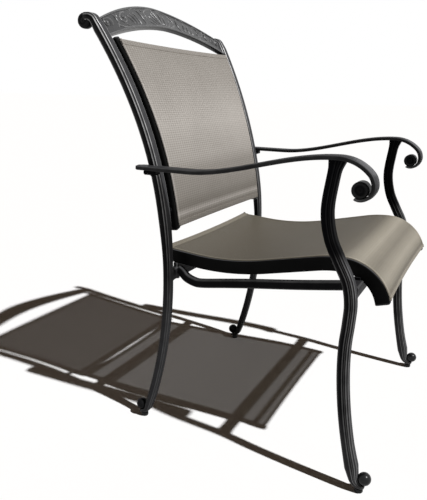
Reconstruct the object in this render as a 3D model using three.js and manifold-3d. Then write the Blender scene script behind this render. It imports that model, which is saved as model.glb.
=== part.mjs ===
// Sling patio chair: a cast frame with scrolled arms and curled feet, a leaf crest between the
// rear posts, and cloth slings held by splines in the back rails and the seat rails.
// Millimetres, +Z up from the floor. The chair faces -Y, and the sitter's left is +X.
// Every paired piece is made for the left side and repeated by reflection for the right side.
import * as THREE from "three";
import { mergeVertices } from "three/addons/utils/BufferGeometryUtils.js";
import Module from "manifold-3d";

const wasm = await Module();
wasm.setup();

// Whole chair
const postSpan = 545; // between the centrelines of the rear posts at the waist
const frameDepth = 415.5; // from the waist of the rear posts forward to the knees of the front legs
const waistHeight = 342; // where the rear posts stand furthest forward
const postRise = 536; // from the waist up to the shoulders
const backRake = 147; // how far the shoulders lie behind the waist
const rearKick = 60; // how far the rear feet lie behind the waist
const seatHeight = 401.5; // centreline of the seat rails at the rear
const armHeight = 605; // centreline of the level rear half of the arms
const armRise = 51; // from there up to the crown over the front legs
const fit = 0.3; // clearance between pieces that touch

// Rear posts
const postWide = 22;
const postDeep = 17;
const postCorner = 4.5;
const rakePower = 2.08;
const flareHeight = 552; // where the posts start to spread
const postFlare = 28; // how far each post spreads by the shoulder
const headRise = 31.5; // from the shoulder to the centreline of the head
const headRadius = 17;
const headRun = 10;
const knobRadius = 16.5;
const knobLong = 23;

// Front legs
const legSpanFloor = 647;
const legSpanArm = 624;
const legWide = 22;
const legDeep = 23;
const legCorner = 5;
const legSwing = 90; // scale of the leg's bends
const gussetShare = 1.45; // depth under the arm
const gussetHigh = 16;
// Height as a share of the leg, and place behind the knee as a share of the swing
const legBendShares = [
  [0.044, -0.45],
  [0.149, -0.256],
  [0.256, -0.111],
  [0.363, -0.022],
  [0.454, 0],
  [0.53, -0.033],
  [0.591, -0.039],
  [0.652, 0.056],
  [0.713, 0.289],
  [0.774, 0.5],
  [0.851, 0.606],
  [0.942, 0.544],
  [1, 0.472],
];

// Feet
const rearBallHeight = 29;
const frontBallHeight = 31;
const rearBallRadius = 13.5;
const frontBallRadius = 13.5;
const ballBite = 1; // how deep a ball sits in its strap
const rearFootShare = 2; // where a post straightens above its strap, in heights of its ball
const frontFootShare = 1.5;
const strapTipAngle = THREE.MathUtils.degToRad(8); // how far the strap passes the lowest point
const rearStrapTip = 6;
const rearStrapSide = 14;
const frontStrapTip = 4;
const frontStrapSide = 19;
const footFlareShare = 1.16; // depth of a front leg at its ball
const footFlareHigh = 60;
const glideRadius = 8.5;
const glideHigh = 8.5;
const glideEdge = 1.5;
const rearGlideShift = 7; // how far the glide lies from the ball towards the member
const frontGlideShift = 9;
const stemRadius = 2.5;
const stemHigh = 4;

// Arms
const armWide = 38;
const armDeep = 9.5;
const armCrown = 2.5; // rise of the top face between its edges
const armTail = 28; // how far an arm runs behind the centreline of its post
const armTailShare = 0.6; // width of the tail's end
const armTailRound = 8;
const armLevelRun = 125;
const armOutset = 32.5; // from the post's outer face to the arm's outer edge
const armInset = 6.5; // how far an arm's centreline lies inside the front leg's
const scrollRadius = 83.5; // first and widest of the scroll's arcs
const scrollRadiusShares = [1, 0.424, 0.297, 0.225];
const scrollTurns = [45, 45, 90, 30];
const scrollSteps = [3, 3, 6, 2];
const scrollDeepShares = [1, 1, 0.53, 0.4]; // thickness at the end of each arc
const scrollBallLong = 33;
const scrollBallDome = 4;
const scrollBallGap = 1; // between the barrel and the band round it
const bracketHigh = 10;
const bracketFore = 17.5; // how far a bracket runs forward of its post's centreline
const bracketAft = 12.5;
const bracketWide = 20;
const bracketCorner = 6;

// Cross bars, side bars and seat blocks
const frontBarHigh = 24;
const frontBarDeep = 20;
const rearBarHigh = 27;
const rearBarDeep = 14;
const rearBarSetback = 2.5; // behind the waist of the rear posts
const barCorner = 3;
const sideBarWide = 16;
const sideBarHigh = 19.5;
const sideBarOutset = 5.5; // outside the seat rail's centreline
const sideBarDrop = 56.5; // from the front end down to the lowest point
// Place along the bar from the front, and drop as a share of the lowest point's
const sideBarShares = [
  [0, 0],
  [0.283, 0.354],
  [0.555, 0.655],
  [0.702, 0.832],
  [0.838, 1],
  [0.886, 0.99],
  [0.933, 0.867],
  [0.969, 0.63],
  [1, 0.545],
];
const blockHigh = 3; // between the front bar and the underside of a seat rail
const bossHigh = 9; // between the rear bar and the underside of a seat rail
const blockLong = 14;
const blockWide = 24;

// Crest rail
const crestThick = 13;
const crestCorner = 2;
const crestRise = 83.6; // top edge at the middle, above the shoulders
const crestFall = 58; // from there down to the posts' centrelines
const crestUnderRise = 34.7; // bottom edge at the middle, above the shoulders
const crestUnderFall = 46.3;
const crestLean = 47.6; // how far the rake at the shoulders would carry the top edge rearward
const crestCurl = 20.6; // how much further its curve carries it
const crestPower = 1.71;
const crestUnderPower = 1.75;
const crestSteps = 12;

// Rails, slings, splines and caps
const railWide = 18;
const railCorner = 3;
const backRailDeep = 24;
const backRailLow = 467;
const backRailHigh = 864;
const backRailForward = 1; // in front of the post's centreline
const spacerLow = 15; // between post and rail at the bottom of the back
const spacerHigh = 6; // and at the top
const seatRailDeep = 29;
const seatOverhang = 33; // how far a seat rail starts behind the waist
const seatRearInset = 47.5; // inside the rear post's centreline
const seatFrontInset = 73.5; // inside the front leg's centreline
const seatStart = THREE.MathUtils.degToRad(-4.7);
const noseSetback = 31; // from the knees back to where the nose starts to turn down
const noseRun = 109;
// Straights and arcs of the seat rail: share of the flat run, turn in degrees, and steps
const seatRunShares = [
  [0.179, 0, 1],
  [0.407, 17.4, 4],
  [0.282, 0, 2],
  [0.132, -12.7, 2],
];
const noseTurn = -74;
const noseSteps = 6;
const seatSlotInset = 5.5; // from a seat rail's outer side to the middle of its slot
const backSlotInset = 12.5; // and from a back rail's
const splineRadius = 3;
const splineSides = 7;
const pocketDepth = 5.5; // from the rail's covered face to the middle of the pocket
const clothThick = 1.5;
const clothCorner = 1; // where the cloth turns out of the slot
const clothSag = 4;
const hemSetback = 4; // from the end of a rail to the edge of the cloth
const capThick = 1.5;
const capHigh = 4;
const capTipShare = 0.72;
const spreaderRadius = 6;
const spreaderSetback = 16; // from the ends of the back rails

// Bolts and spacers
const boltRadius = 3;
const boltHeadRadius = 5;
const boltHeadHigh = 4;
const boltGrip = 12;
const boltSides = 10;
const spotDepth = 1.2; // of the recess under a bolt's head
const spacerRadius = 8;
const backBoltSetback = 40; // from the ends of the back rails

// Making
const cutReach = 80; // overrun of the cutting shapes
const weld = 1e-3;
const postSteps = 15;
const backSteps = 9;
const strapSteps = 5;
const headSteps = 3;
const bendSteps = 8;
const crownSteps = 6;
const domeSteps = 3;
const sagSteps = 6;
const ballSides = 14;
const ballRings = 9;

const shoulderHeight = waistHeight + postRise;
const crownHeight = shoulderHeight + headRise;
const legHeight = armHeight + armRise;
const acrossChair = new THREE.Vector3(1, 0, 0);
const rearward = new THREE.Vector3(0, 1, 0);
const upward = new THREE.Vector3(0, 0, 1);
// Turns X, Y and Z into Y, Z and X, so that an outline is drawn in the side view.
const intoSide = new THREE.Matrix4().makeBasis(rearward, upward, acrossChair);

const castMetal = new THREE.MeshStandardMaterial({ color: 0x2e2e30, roughness: 0.42, metalness: 0.35 });
const railMetal = new THREE.MeshStandardMaterial({ color: 0x242425, roughness: 0.4, metalness: 0.35 });
const steel = new THREE.MeshStandardMaterial({ color: 0x4a4a4c, roughness: 0.4, metalness: 0.8 });
const plastic = new THREE.MeshStandardMaterial({ color: 0x1c1c1c, roughness: 0.6, metalness: 0 });
const cloth = new THREE.MeshStandardMaterial({ color: 0x8f887d, roughness: 0.9, metalness: 0 });

// A point of a member's centreline, with its depth and width there as shares of the full ones.
function spot(x, y, z, deep = 1, wide = 1) {
  return { at: new THREE.Vector3(x, y, z), deep, wide };
}

// Evenly spaced numbers from the first to the last.
function evenly(first, last, steps) {
  return Array.from({ length: steps + 1 }, (_, i) => first + ((last - first) * i) / steps);
}

// Cross-sections at the points of a centreline: where each lies, and which way it faces.
function stations(spots) {
  return spots.map(({ at, deep = 1, wide = 1 }, i) => {
    const before = spots[Math.max(i - 1, 0)].at;
    const after = spots[Math.min(i + 1, spots.length - 1)].at;
    const run = after.clone().sub(before).normalize();
    const across = acrossChair.clone().addScaledVector(run, -run.x).normalize();
    const up = run.clone().cross(across);
    return { at, run, across, up, wide, deep };
  });
}

// The point of a section, given across and up, in the chair.
function pointOf({ at, across, up, wide, deep }, u, v) {
  return at.clone().addScaledVector(across, u * wide).addScaledVector(up, v * deep);
}

// Sweeps a closed outline through its stations.
function swept(outline, line) {
  const last = line.length - 1;
  const bar = new THREE.ExtrudeGeometry(new THREE.Shape(outline), {
    depth: last,
    steps: last,
    bevelEnabled: false,
  });
  const corners = bar.attributes.position;
  for (let i = 0; i < corners.count; i++) {
    const here = line[Math.round(corners.getZ(i))];
    const corner = pointOf(here, corners.getX(i), corners.getY(i));
    corners.setXYZ(i, corner.x, corner.y, corner.z);
  }
  return bar;
}

// A rectangle with round corners about the origin, larger all round by grow. It starts and ends
// on the side where the first coordinate is lowest.
function softBox(wide, deep, corner, grow = 0, steps = 2) {
  const outline = [];
  const centres = [[-1, -1], [1, -1], [1, 1], [-1, 1]];
  centres.forEach(([sideX, sideY], quarter) => {
    for (const angle of evenly((quarter - 2) * 90, (quarter - 1) * 90, steps)) {
      const turn = THREE.MathUtils.degToRad(angle);
      outline.push(new THREE.Vector2(
        sideX * (wide / 2 - corner) + (corner + grow) * Math.cos(turn),
        sideY * (deep / 2 - corner) + (corner + grow) * Math.sin(turn),
      ));
    }
  });
  return outline;
}

// Closed shapes as solids, for joining and cutting.
function solid(geometry) {
  const bare = geometry.clone();
  bare.deleteAttribute("normal");
  bare.deleteAttribute("uv");
  const merged = mergeVertices(bare, weld);
  return new wasm.Manifold(new wasm.Mesh({
    numProp: 3,
    vertProperties: merged.attributes.position.array,
    triVerts: new Uint32Array(merged.index.array),
  }));
}

function geometryOf(made) {
  const mesh = made.getMesh();
  const geometry = new THREE.BufferGeometry();
  geometry.setAttribute("position", new THREE.BufferAttribute(mesh.vertProperties, 3));
  geometry.setIndex(new THREE.BufferAttribute(mesh.triVerts, 1));
  geometry.computeVertexNormals();
  return geometry;
}

function joined(first, ...others) {
  return geometryOf(others.reduce((sum, other) => sum.add(solid(other)), solid(first)));
}

function cut(blank, ...tools) {
  return geometryOf(tools.reduce((rest, tool) => rest.subtract(solid(tool)), solid(blank)));
}

// The reflection of a shape in the chair's middle plane, with its faces turned back outwards.
function reflected(geometry) {
  const twin = geometry.index ? geometry.toNonIndexed() : geometry.clone();
  twin.scale(-1, 1, 1);
  const corners = twin.attributes.position;
  for (let i = 0; i < corners.count; i += 3) {
    const second = new THREE.Vector3().fromBufferAttribute(corners, i + 1);
    const third = new THREE.Vector3().fromBufferAttribute(corners, i + 2);
    corners.setXYZ(i + 1, third.x, third.y, third.z);
    corners.setXYZ(i + 2, second.x, second.y, second.z);
  }
  return twin;
}

function bothSides(geometry) {
  return [geometry, reflected(geometry)];
}

// A ball, or with a length along X an oval knob.
function ball(centre, radius, long = 2 * radius) {
  return new THREE.SphereGeometry(radius, ballSides, ballRings)
    .scale(long / (2 * radius), 1, 1)
    .translate(centre.x, centre.y, centre.z);
}

// A turned shape, from pairs of radius and height, along Z or X from its foot.
function turned(profile, sides, foot, alongX = false) {
  const points = profile.map(([radius, height]) => new THREE.Vector2(radius, height));
  const shape = new THREE.LatheGeometry(points, sides).rotateX(Math.PI / 2);
  if (alongX) shape.applyMatrix4(intoSide);
  return shape.translate(foot.x, foot.y, foot.z);
}

// An outline drawn in Y and Z, extruded along X.
function slab(outline, fromX, toX) {
  const side = new THREE.Shape(outline.map(([y, z]) => new THREE.Vector2(y, z)));
  return new THREE.ExtrudeGeometry(side, { depth: toX - fromX, bevelEnabled: false })
    .applyMatrix4(intoSide)
    .translate(fromX, 0, 0);
}

// Everything that lies outboard of a member's inner face.
function outboardOf(line, wide) {
  const inner = -wide / 2 - fit;
  const far = cutReach;
  const outline = [[inner, -far], [far, -far], [far, far], [inner, far]];
  return swept(outline.map(([u, v]) => new THREE.Vector2(u, v)), line);
}

// Rear posts: a kicked foot, a raked back that spreads, and a head that turns over to a knob.
function postLine(height) {
  const fall = Math.max(0, waistHeight - height) / waistHeight;
  const climb = Math.max(0, height - waistHeight) / postRise;
  const spread = Math.max(0, height - flareHeight) / (shoulderHeight - flareHeight);
  const x = postSpan / 2 + postFlare * spread ** 2;
  const y = rearKick * fall ** 2 + backRake * climb ** rakePower;
  return new THREE.Vector3(x, y, height);
}

function postHead() {
  const rise = postLine(shoulderHeight).sub(postLine(shoulderHeight - headRadius));
  const heading = Math.atan2(rise.z, rise.y);
  const start = postLine(crownHeight - headRadius * (1 - Math.cos(heading)));
  const middleY = start.y + headRadius * Math.sin(heading);
  const spots = evenly(heading, 0, headSteps).map((angle) => spot(
    start.x,
    middleY - headRadius * Math.sin(angle),
    crownHeight - headRadius * (1 - Math.cos(angle)),
  ));
  spots.push(spot(start.x, middleY + headRun, crownHeight));
  const knob = new THREE.Vector3(start.x, middleY + headRun, crownHeight + postDeep / 2 - knobRadius);
  return { spots, knob };
}

// The centre of a foot ball that its member's strap curls round.
function footBall(line, height, radius, sideThick, toMember) {
  const member = line(height);
  member.y -= toMember * (radius + fit - ballBite + sideThick / 2);
  return member;
}

// The strap under a foot ball, from its tip up to the member's own line.
function strap(centre, radius, toMember, tipThick, sideThick, fullThick) {
  return evenly(0, 1, strapSteps).map((share) => {
    const angle = THREE.MathUtils.lerp(-strapTipAngle, Math.PI / 2, share);
    const thick = THREE.MathUtils.lerp(tipThick, sideThick, share);
    const reach = radius + fit - ballBite + thick / 2;
    const y = centre.y + toMember * reach * Math.sin(angle);
    return spot(centre.x, y, centre.z - reach * Math.cos(angle), thick / fullThick);
  });
}

// A glide's foot point on the floor, a little to the member's side of the ball.
function glideFoot(centre, shift) {
  return new THREE.Vector3(centre.x, centre.y + shift, 0);
}

function glide(foot) {
  return turned([
    [0, 0],
    [glideRadius - glideEdge, 0],
    [glideRadius, glideEdge],
    [glideRadius, glideHigh],
    [stemRadius, glideHigh],
    [stemRadius, glideHigh + stemHigh],
    [0, glideHigh + stemHigh],
  ], ballSides, foot);
}

// Cuts a member's foot flat for its glide, with a hole for the stem and a seat for the ball.
function footTools(centre, radius, foot) {
  const land = glideHigh + fit;
  const floorCut = new THREE.BoxGeometry(cutReach, cutReach, cutReach)
    .translate(foot.x, foot.y, land - cutReach / 2);
  const hole = turned([
    [0, 0],
    [stemRadius + fit, 0],
    [stemRadius + fit, land + stemHigh + fit],
    [0, land + stemHigh + fit],
  ], ballSides, foot);
  return [floorCut, hole, ball(centre, radius + fit)];
}

const rearBall = footBall(postLine, rearBallHeight, rearBallRadius, rearStrapSide, -1);
const rearGlide = glideFoot(rearBall, -rearGlideShift);
const head = postHead();
const postStraight = evenly(rearFootShare * rearBallHeight, head.spots[0].at.z, postSteps).slice(0, -1)
  .map((height) => ({ at: postLine(height) }));
const postSpots = [
  ...strap(rearBall, rearBallRadius, -1, rearStrapTip, rearStrapSide, postDeep),
  ...postStraight,
  ...head.spots,
];

function rearPost(boltSpaces) {
  const post = swept(softBox(postWide, postDeep, postCorner), stations(postSpots));
  const withKnob = joined(post, ball(head.knob, knobRadius, knobLong));
  return cut(withKnob, ...footTools(rearBall, rearBallRadius, rearGlide), ...boltSpaces);
}

// The space taken by a post and everything outboard of it, carried straight on past the crest.
function outboardOfPost() {
  const top = head.spots[0].at;
  const lean = top.clone().sub(postStraight.at(-1).at).setX(0).normalize();
  const beyond = { at: top.clone().addScaledVector(lean, 2 * crestRise) };
  return outboardOf(stations([...postStraight, head.spots[0], beyond]), postWide);
}

// Front legs: two bends between the curled foot and the arm.
const legCurve = new THREE.SplineCurve(legBendShares.map(([highShare, swingShare]) => (
  new THREE.Vector2(-frameDepth + legSwing * swingShare, legHeight * highShare)
)));
const legProfile = legCurve.getPoints(2 * (legBendShares.length - 1));

// The point at a height on the front leg's centreline.
function legLine(height) {
  const above = Math.max(1, legProfile.findIndex((point) => point.y >= height));
  const [low, high] = [legProfile[above - 1], legProfile[above]];
  const share = (height - low.y) / (high.y - low.y);
  const x = THREE.MathUtils.lerp(legSpanFloor, legSpanArm, height / legHeight) / 2;
  return new THREE.Vector3(x, THREE.MathUtils.lerp(low.x, high.x, share), height);
}

const frontBall = footBall(legLine, frontBallHeight, frontBallRadius, frontStrapSide, 1);
const frontGlide = glideFoot(frontBall, frontGlideShift);

function legSpots() {
  const footTop = frontFootShare * frontBallHeight;
  const bends = legProfile.filter((point) => point.y > footTop).map((point) => {
    const height = Math.min(point.y, legHeight - armCrown);
    const nearArm = Math.max(0, height - (legHeight - gussetHigh)) / gussetHigh;
    const nearFoot = Math.max(0, 1 - (height - frontBallHeight) / footFlareHigh);
    const deep = 1 + (gussetShare - 1) * nearArm + (footFlareShare - 1) * nearFoot;
    return { at: legLine(height), deep };
  });
  const foot = strap(frontBall, frontBallRadius, 1, frontStrapTip, frontStrapSide, legDeep);
  return [...foot, ...bends];
}

function frontLeg(armSpace) {
  const leg = swept(softBox(legWide, legDeep, legCorner), stations(legSpots()));
  return cut(leg, ...footTools(frontBall, frontBallRadius, frontGlide), armSpace);
}

// Arms: level past the post, rising to the leg, then rolled down into a scroll round a ball.
const armPost = postLine(armHeight);
const armRearX = armPost.x + postWide / 2 + armOutset - armWide / 2;
const armFrontX = legLine(legHeight - fit).x - armInset;
const armCrownY = legLine(legHeight - fit).y;

function armPlace({ y, z, deep, wide }) {
  const share = Math.min(1, (armPost.y + armTail - y) / (armPost.y + armTail - armCrownY));
  return spot(THREE.MathUtils.lerp(armRearX, armFrontX, share), y, z, deep, wide);
}

// Points along straights and arcs in the side view, each leg a run, a turn in degrees and steps.
function sideRun(start, heading, legs) {
  const points = [{ y: start.y, z: start.z, heading }];
  let { y, z } = start;
  for (const { run, turn, steps } of legs) {
    const stepTurn = THREE.MathUtils.degToRad(turn) / steps;
    const half = Math.abs(stepTurn / 2);
    const chord = (run / steps) * (half > 0 ? Math.sin(half) / half : 1);
    for (let i = 0; i < steps; i++) {
      y -= chord * Math.cos(heading + stepTurn / 2);
      z += chord * Math.sin(heading + stepTurn / 2);
      heading += stepTurn;
      points.push({ y, z, heading });
    }
  }
  return points;
}

function armBend() {
  const tailY = armPost.y + armTail;
  const bendY = tailY - armLevelRun;
  const rise = evenly(0, 1, bendSteps).map((share) => ({
    y: THREE.MathUtils.lerp(bendY, armCrownY, share),
    z: armHeight + armRise * THREE.MathUtils.smoothstep(share, 0, 1),
  }));
  const scroll = sideRun(rise.at(-1), 0, scrollTurns.map((turn, i) => ({
    run: scrollRadius * scrollRadiusShares[i] * THREE.MathUtils.degToRad(turn),
    turn: -turn,
    steps: scrollSteps[i],
  }))).slice(1);
  const deeps = scrollSteps.flatMap((steps, i) => (
    evenly(scrollDeepShares[i - 1] ?? 1, scrollDeepShares[i], steps).slice(1)
  ));
  return [
    { y: tailY, z: armHeight, wide: armTailShare },
    { y: tailY - armTailRound, z: armHeight },
    ...rise,
    ...scroll.map((point, i) => ({ ...point, deep: deeps[i] })),
  ];
}

// The arm's outline: flat below, crowned above.
function armOutline(grow = 0) {
  const half = armWide / 2 + grow;
  const edge = armDeep / 2 - armCrown;
  const under = [[-half, -armDeep / 2 - grow], [half, -armDeep / 2 - grow]];
  const crown = evenly(1, -1, crownSteps).map((share) => [
    half * share,
    edge + grow + armCrown * (1 - share ** 2),
  ]);
  return [...under, ...crown].map(([u, v]) => new THREE.Vector2(u, v));
}

const armProfile = armBend();
const armStations = stations(armProfile.map(armPlace));

function armBody(grow) {
  return swept(armOutline(grow), armStations);
}

// The inner edge is notched round the post.
function arm() {
  return cut(armBody(0), swept(softBox(postWide, postDeep, postCorner, fit), stations(postSpots)));
}

// The barrel inside the scroll, round the centre of the last arc.
function scrollBall() {
  const { y, z, heading } = armProfile.at(-1 - scrollSteps.at(-1));
  const away = scrollRadius * scrollRadiusShares.at(-1);
  const radius = away - (scrollDeepShares.at(-2) * armDeep) / 2 - scrollBallGap;
  const { at: centre } = armPlace({ y: y - away * Math.sin(heading), z: z - away * Math.cos(heading) });
  const straight = scrollBallLong / 2 - scrollBallDome;
  const dome = evenly(0, Math.PI / 2, domeSteps).map((turn) => (
    [radius * Math.cos(turn), straight + scrollBallDome * Math.sin(turn)]
  ));
  const lower = dome.map(([across, along]) => [across, -along]).reverse();
  lower[0][0] = 0;
  dome.at(-1)[0] = 0;
  return turned([...lower, ...dome], ballSides, centre, true);
}

// The lug that carries the arm on the outer face of the post.
function armBracket() {
  const top = armHeight - armDeep / 2 - fit;
  const base = top - bracketHigh;
  const front = armPost.y - bracketFore;
  const rear = armPost.y + bracketAft;
  const inner = postLine(top).x + postWide / 2 + fit;
  return slab([
    [rear, top],
    [front, top],
    [front, base + bracketCorner],
    [front + bracketCorner, base],
    [rear - bracketCorner, base],
    [rear, base + bracketCorner],
  ], inner, inner + bracketWide);
}

// Bolts along Z or X, and the space that each takes, with a recess for its head.
function boltProfile(length, grow, lead) {
  const base = boltHeadHigh + grow;
  return [
    [0, -lead],
    [boltHeadRadius + grow, -lead],
    [boltHeadRadius + grow, base],
    [boltRadius + grow, base],
    [boltRadius + grow, boltHeadHigh + length + grow],
    [0, boltHeadHigh + length + grow],
  ];
}

function boltAndSpace(foot, length, alongX) {
  return {
    bolt: turned(boltProfile(length, 0, 0), boltSides, foot, alongX),
    space: turned(boltProfile(length, fit, cutReach), boltSides, foot, alongX),
  };
}

// Rails: the cloth covers one face, the upper one on the seat and the front one on the back. A slot
// there leads to the pocket that holds the spline.
const coversTop = 1;
const coversFront = -1;
const slotAcross = (side) => railWide / 2 - (side === coversTop ? seatSlotInset : backSlotInset);
const slotHalf = clothThick / 2 + fit;
const slotAngle = Math.asin(slotHalf / (splineRadius + fit));
const splineAngles = evenly(Math.PI - slotAngle, slotAngle - Math.PI, splineSides);

// Turns an outline that is drawn with its covered face to the left.
function facing(side, outline) {
  return outline.map((point) => point.rotateAround(new THREE.Vector2(), -side * Math.PI / 2));
}

function pocketOutline(radius, deep, side) {
  const pocket = new THREE.Vector2(pocketDepth - deep / 2, side * slotAcross(side));
  return splineAngles.map((angle) => (
    new THREE.Vector2(Math.cos(angle), Math.sin(angle)).multiplyScalar(radius).add(pocket)
  ));
}

function railOutline(deep, side) {
  return facing(side, [
    ...softBox(deep, railWide, railCorner, 0, 1),
    new THREE.Vector2(-deep / 2, side * slotAcross(side) + slotHalf),
    ...pocketOutline(splineRadius + fit, deep, side),
    new THREE.Vector2(-deep / 2, side * slotAcross(side) - slotHalf),
  ]);
}

function spline(line, deep, side) {
  return swept(facing(side, pocketOutline(splineRadius, deep, side)), line);
}

// A rail without its slot, larger all round by the fit, which its neighbours are cut by.
function railSpace(line, deep) {
  return swept(softBox(railWide, deep, railCorner, fit, 1), line);
}

// The cloth: out of the slot of one rail, over its covered face, sagging to the other rail, and
// into the slot there. Its widths are shares of the distance from the middle to the slot.
function sling(line, deep, side) {
  const clothLine = line.slice(1, -1).map((rail) => {
    const slot = pointOf(rail, slotAcross(side), 0);
    const middle = new THREE.Vector3(0, slot.y, slot.z);
    return { at: middle, across: acrossChair, up: rail.up, wide: slot.x, deep: 1 };
  });
  const reach = pointOf(line[Math.floor(line.length / 2)], slotAcross(side), 0).x;
  const edge = deep / 2 - pocketDepth + splineRadius * Math.cos(slotAngle) + fit;
  const under = deep / 2 + fit;
  const over = under + clothThick;
  const turn = [
    [-clothThick / 2, under],
    [-clothThick / 2, edge],
    [clothThick / 2, edge],
    [clothThick / 2, over - clothCorner],
    [clothThick / 2 - clothCorner, over],
  ].map(([out, high]) => [1 + out / reach, high]);
  const flatShare = 1 - (slotAcross(side) + railWide / 2) / reach;
  const drop = (share) => clothSag * (1 - (share / flatShare) ** 2);
  const shares = evenly(-flatShare, flatShare, sagSteps);
  const outline = [
    ...shares.map((share) => [share, under - drop(share)]),
    ...turn,
    ...shares.map((share) => [share, over - drop(share)]).reverse(),
    ...turn.map(([share, high]) => [-share, high]).reverse(),
  ];
  return swept(outline.map(([share, high]) => new THREE.Vector2(share, side * high)), clothLine);
}

// A round-ended plug at one end of a rail.
function railCap(end, outward, deep) {
  const line = [[fit, 1], [fit + capThick, 1], [fit + capHigh, capTipShare]].map(([away, share]) => ({
    ...end,
    at: end.at.clone().addScaledVector(end.run, outward * away),
    wide: share,
    deep: share,
  }));
  if (outward < 0) line.reverse();
  return swept(softBox(railWide, deep, railCorner, 0, 1), line);
}

// A tube that holds two rails apart, just behind the cloth.
function spreader(rail, deep, side, space) {
  const middle = pointOf(rail, 0, side * (deep / 2 - clothSag - spreaderRadius));
  const foot = new THREE.Vector3(-middle.x, middle.y, middle.z);
  const tube = turned([
    [0, 0],
    [spreaderRadius, 0],
    [spreaderRadius, 2 * middle.x],
    [0, 2 * middle.x],
  ], boltSides, foot, true);
  return cut(tube, ...bothSides(space));
}

// Back rails: inboard of the posts by a spacer that narrows upwards.
function backRailPoint(height) {
  const share = Math.max(0, height - backRailLow) / (backRailHigh - backRailLow);
  const spacer = THREE.MathUtils.lerp(spacerLow, spacerHigh, Math.sqrt(share));
  const post = postLine(height);
  return spot(post.x - (postWide + railWide) / 2 - spacer, post.y - backRailForward, height);
}

const backRailLine = stations([
  backRailPoint(backRailLow),
  ...evenly(backRailLow + hemSetback, backRailHigh - hemSetback, backSteps).map(backRailPoint),
  backRailPoint(backRailHigh),
]);
const backRailSpace = railSpace(backRailLine, backRailDeep);

// The tube behind the cloth at a height.
function backSpreader(height) {
  const rail = stations(evenly(height - railCorner, height + railCorner, 2).map(backRailPoint))[1];
  return spreader(rail, backRailDeep, coversFront, backRailSpace);
}

// A bolt from the rail's inner side, through the spacer, into a blind hole in the post.
function backFixing(height) {
  const { at } = backRailPoint(height);
  const innerFace = at.x - railWide / 2;
  const postFace = postLine(height).x - postWide / 2;
  const y = at.y + backRailForward;
  const foot = new THREE.Vector3(innerFace + spotDepth - boltHeadHigh - fit, y, height);
  const fixing = boltAndSpace(foot, postFace + boltGrip - foot.x - boltHeadHigh, true);
  const tube = turned([
    [0, 0],
    [spacerRadius, 0],
    [spacerRadius, postFace + postWide / 2 - at.x],
    [0, postFace + postWide / 2 - at.x],
  ], boltSides, new THREE.Vector3(at.x, y, height), true);
  const spacer = cut(tube, backRailSpace, outboardOfPost(), fixing.space);
  return { ...fixing, spacer };
}

const backLower = backFixing(backRailLow + backBoltSetback);
const backUpper = backFixing(backRailHigh - backBoltSetback);

// Seat rails: nearly level, rising to the knees, then rolled down over the nose.
function seatRailLine() {
  const flatRun = frameDepth + seatOverhang - noseSetback;
  const flat = seatRunShares.map(([share, turn, steps]) => ({ run: flatRun * share, turn, steps }));
  const nose = { run: noseRun, turn: noseTurn, steps: noseSteps };
  const start = { y: seatOverhang, z: seatHeight };
  const points = sideRun(start, seatStart, [
    { run: hemSetback, turn: 0, steps: 1 },
    ...flat,
    nose,
    { run: hemSetback, turn: 0, steps: 1 },
  ]);
  const rearX = postSpan / 2 - seatRearInset;
  const frontX = legLine(seatHeight).x - seatFrontInset;
  return stations(points.map(({ y, z }) => {
    const share = (seatOverhang - y) / (seatOverhang - points.at(-1).y);
    return spot(THREE.MathUtils.lerp(rearX, frontX, share), y, z);
  }));
}

const seatLine = seatRailLine();
const seatRailSpace = railSpace(seatLine, seatRailDeep);

// The point of a seat rail's centreline over a place in the plan.
function seatRailOver(y) {
  const ahead = seatLine.findIndex(({ at }) => at.y <= y);
  const [rear, front] = [seatLine[ahead - 1].at, seatLine[ahead].at];
  return rear.clone().lerp(front, (rear.y - y) / (rear.y - front.y));
}

// Cross bars: one between the rear posts, one between the front legs.
const rearBarY = rearBarSetback;
const rearBarTop = seatRailOver(rearBarY).z - seatRailDeep / 2 - bossHigh;
const rearBarBase = rearBarTop - rearBarHigh;
const frontBarY = legLine(seatHeight).y;
const frontBarTop = seatRailOver(frontBarY).z - seatRailDeep / 2 - blockHigh;
const frontBarBase = frontBarTop - frontBarHigh;

function crossBar(y, base, high, deep, halfLong) {
  const outline = softBox(deep, high, barCorner, 0, 1).map((point) => (
    [y + point.x, base + high / 2 + point.y]
  ));
  return slab(outline, -halfLong, halfLong);
}

function seatFixing(y, base) {
  const rail = seatRailOver(y);
  const foot = new THREE.Vector3(rail.x, y, base + spotDepth - boltHeadHigh - fit);
  const tip = rail.z - seatRailDeep / 2 + boltGrip;
  return boltAndSpace(foot, tip - foot.z - boltHeadHigh, false);
}

const seatRear = seatFixing(rearBarY, rearBarBase);
const seatFront = seatFixing(frontBarY, frontBarBase);

// The rear bar carries each seat rail on a boss.
function rearCrossBar() {
  const bar = crossBar(rearBarY, rearBarBase, rearBarHigh, rearBarDeep, postSpan / 2);
  const rail = seatRailOver(rearBarY);
  const boss = saddle(rail, rearBarDeep - 2 * barCorner, rearBarBase + rearBarHigh / 2);
  const spaces = [outboardOfPost(), railSpaceAbove(rearBarY), seatRailSpace, seatRear.space];
  return cut(joined(bar, ...bothSides(boss)), ...spaces.flatMap(bothSides));
}

function frontCrossBar() {
  const middle = frontBarBase + frontBarHigh / 2;
  const bar = crossBar(frontBarY, frontBarBase, frontBarHigh, frontBarDeep, legLine(middle).x);
  const near = legProfile.filter(({ y }) => Math.abs(y - middle) < 2 * frameDepth / postSteps);
  const legs = outboardOf(stations(near.map(({ y }) => ({ at: legLine(y) }))), legWide);
  return cut(bar, ...[legs, seatFront.space, seatRailSpace].flatMap(bothSides));
}

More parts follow.
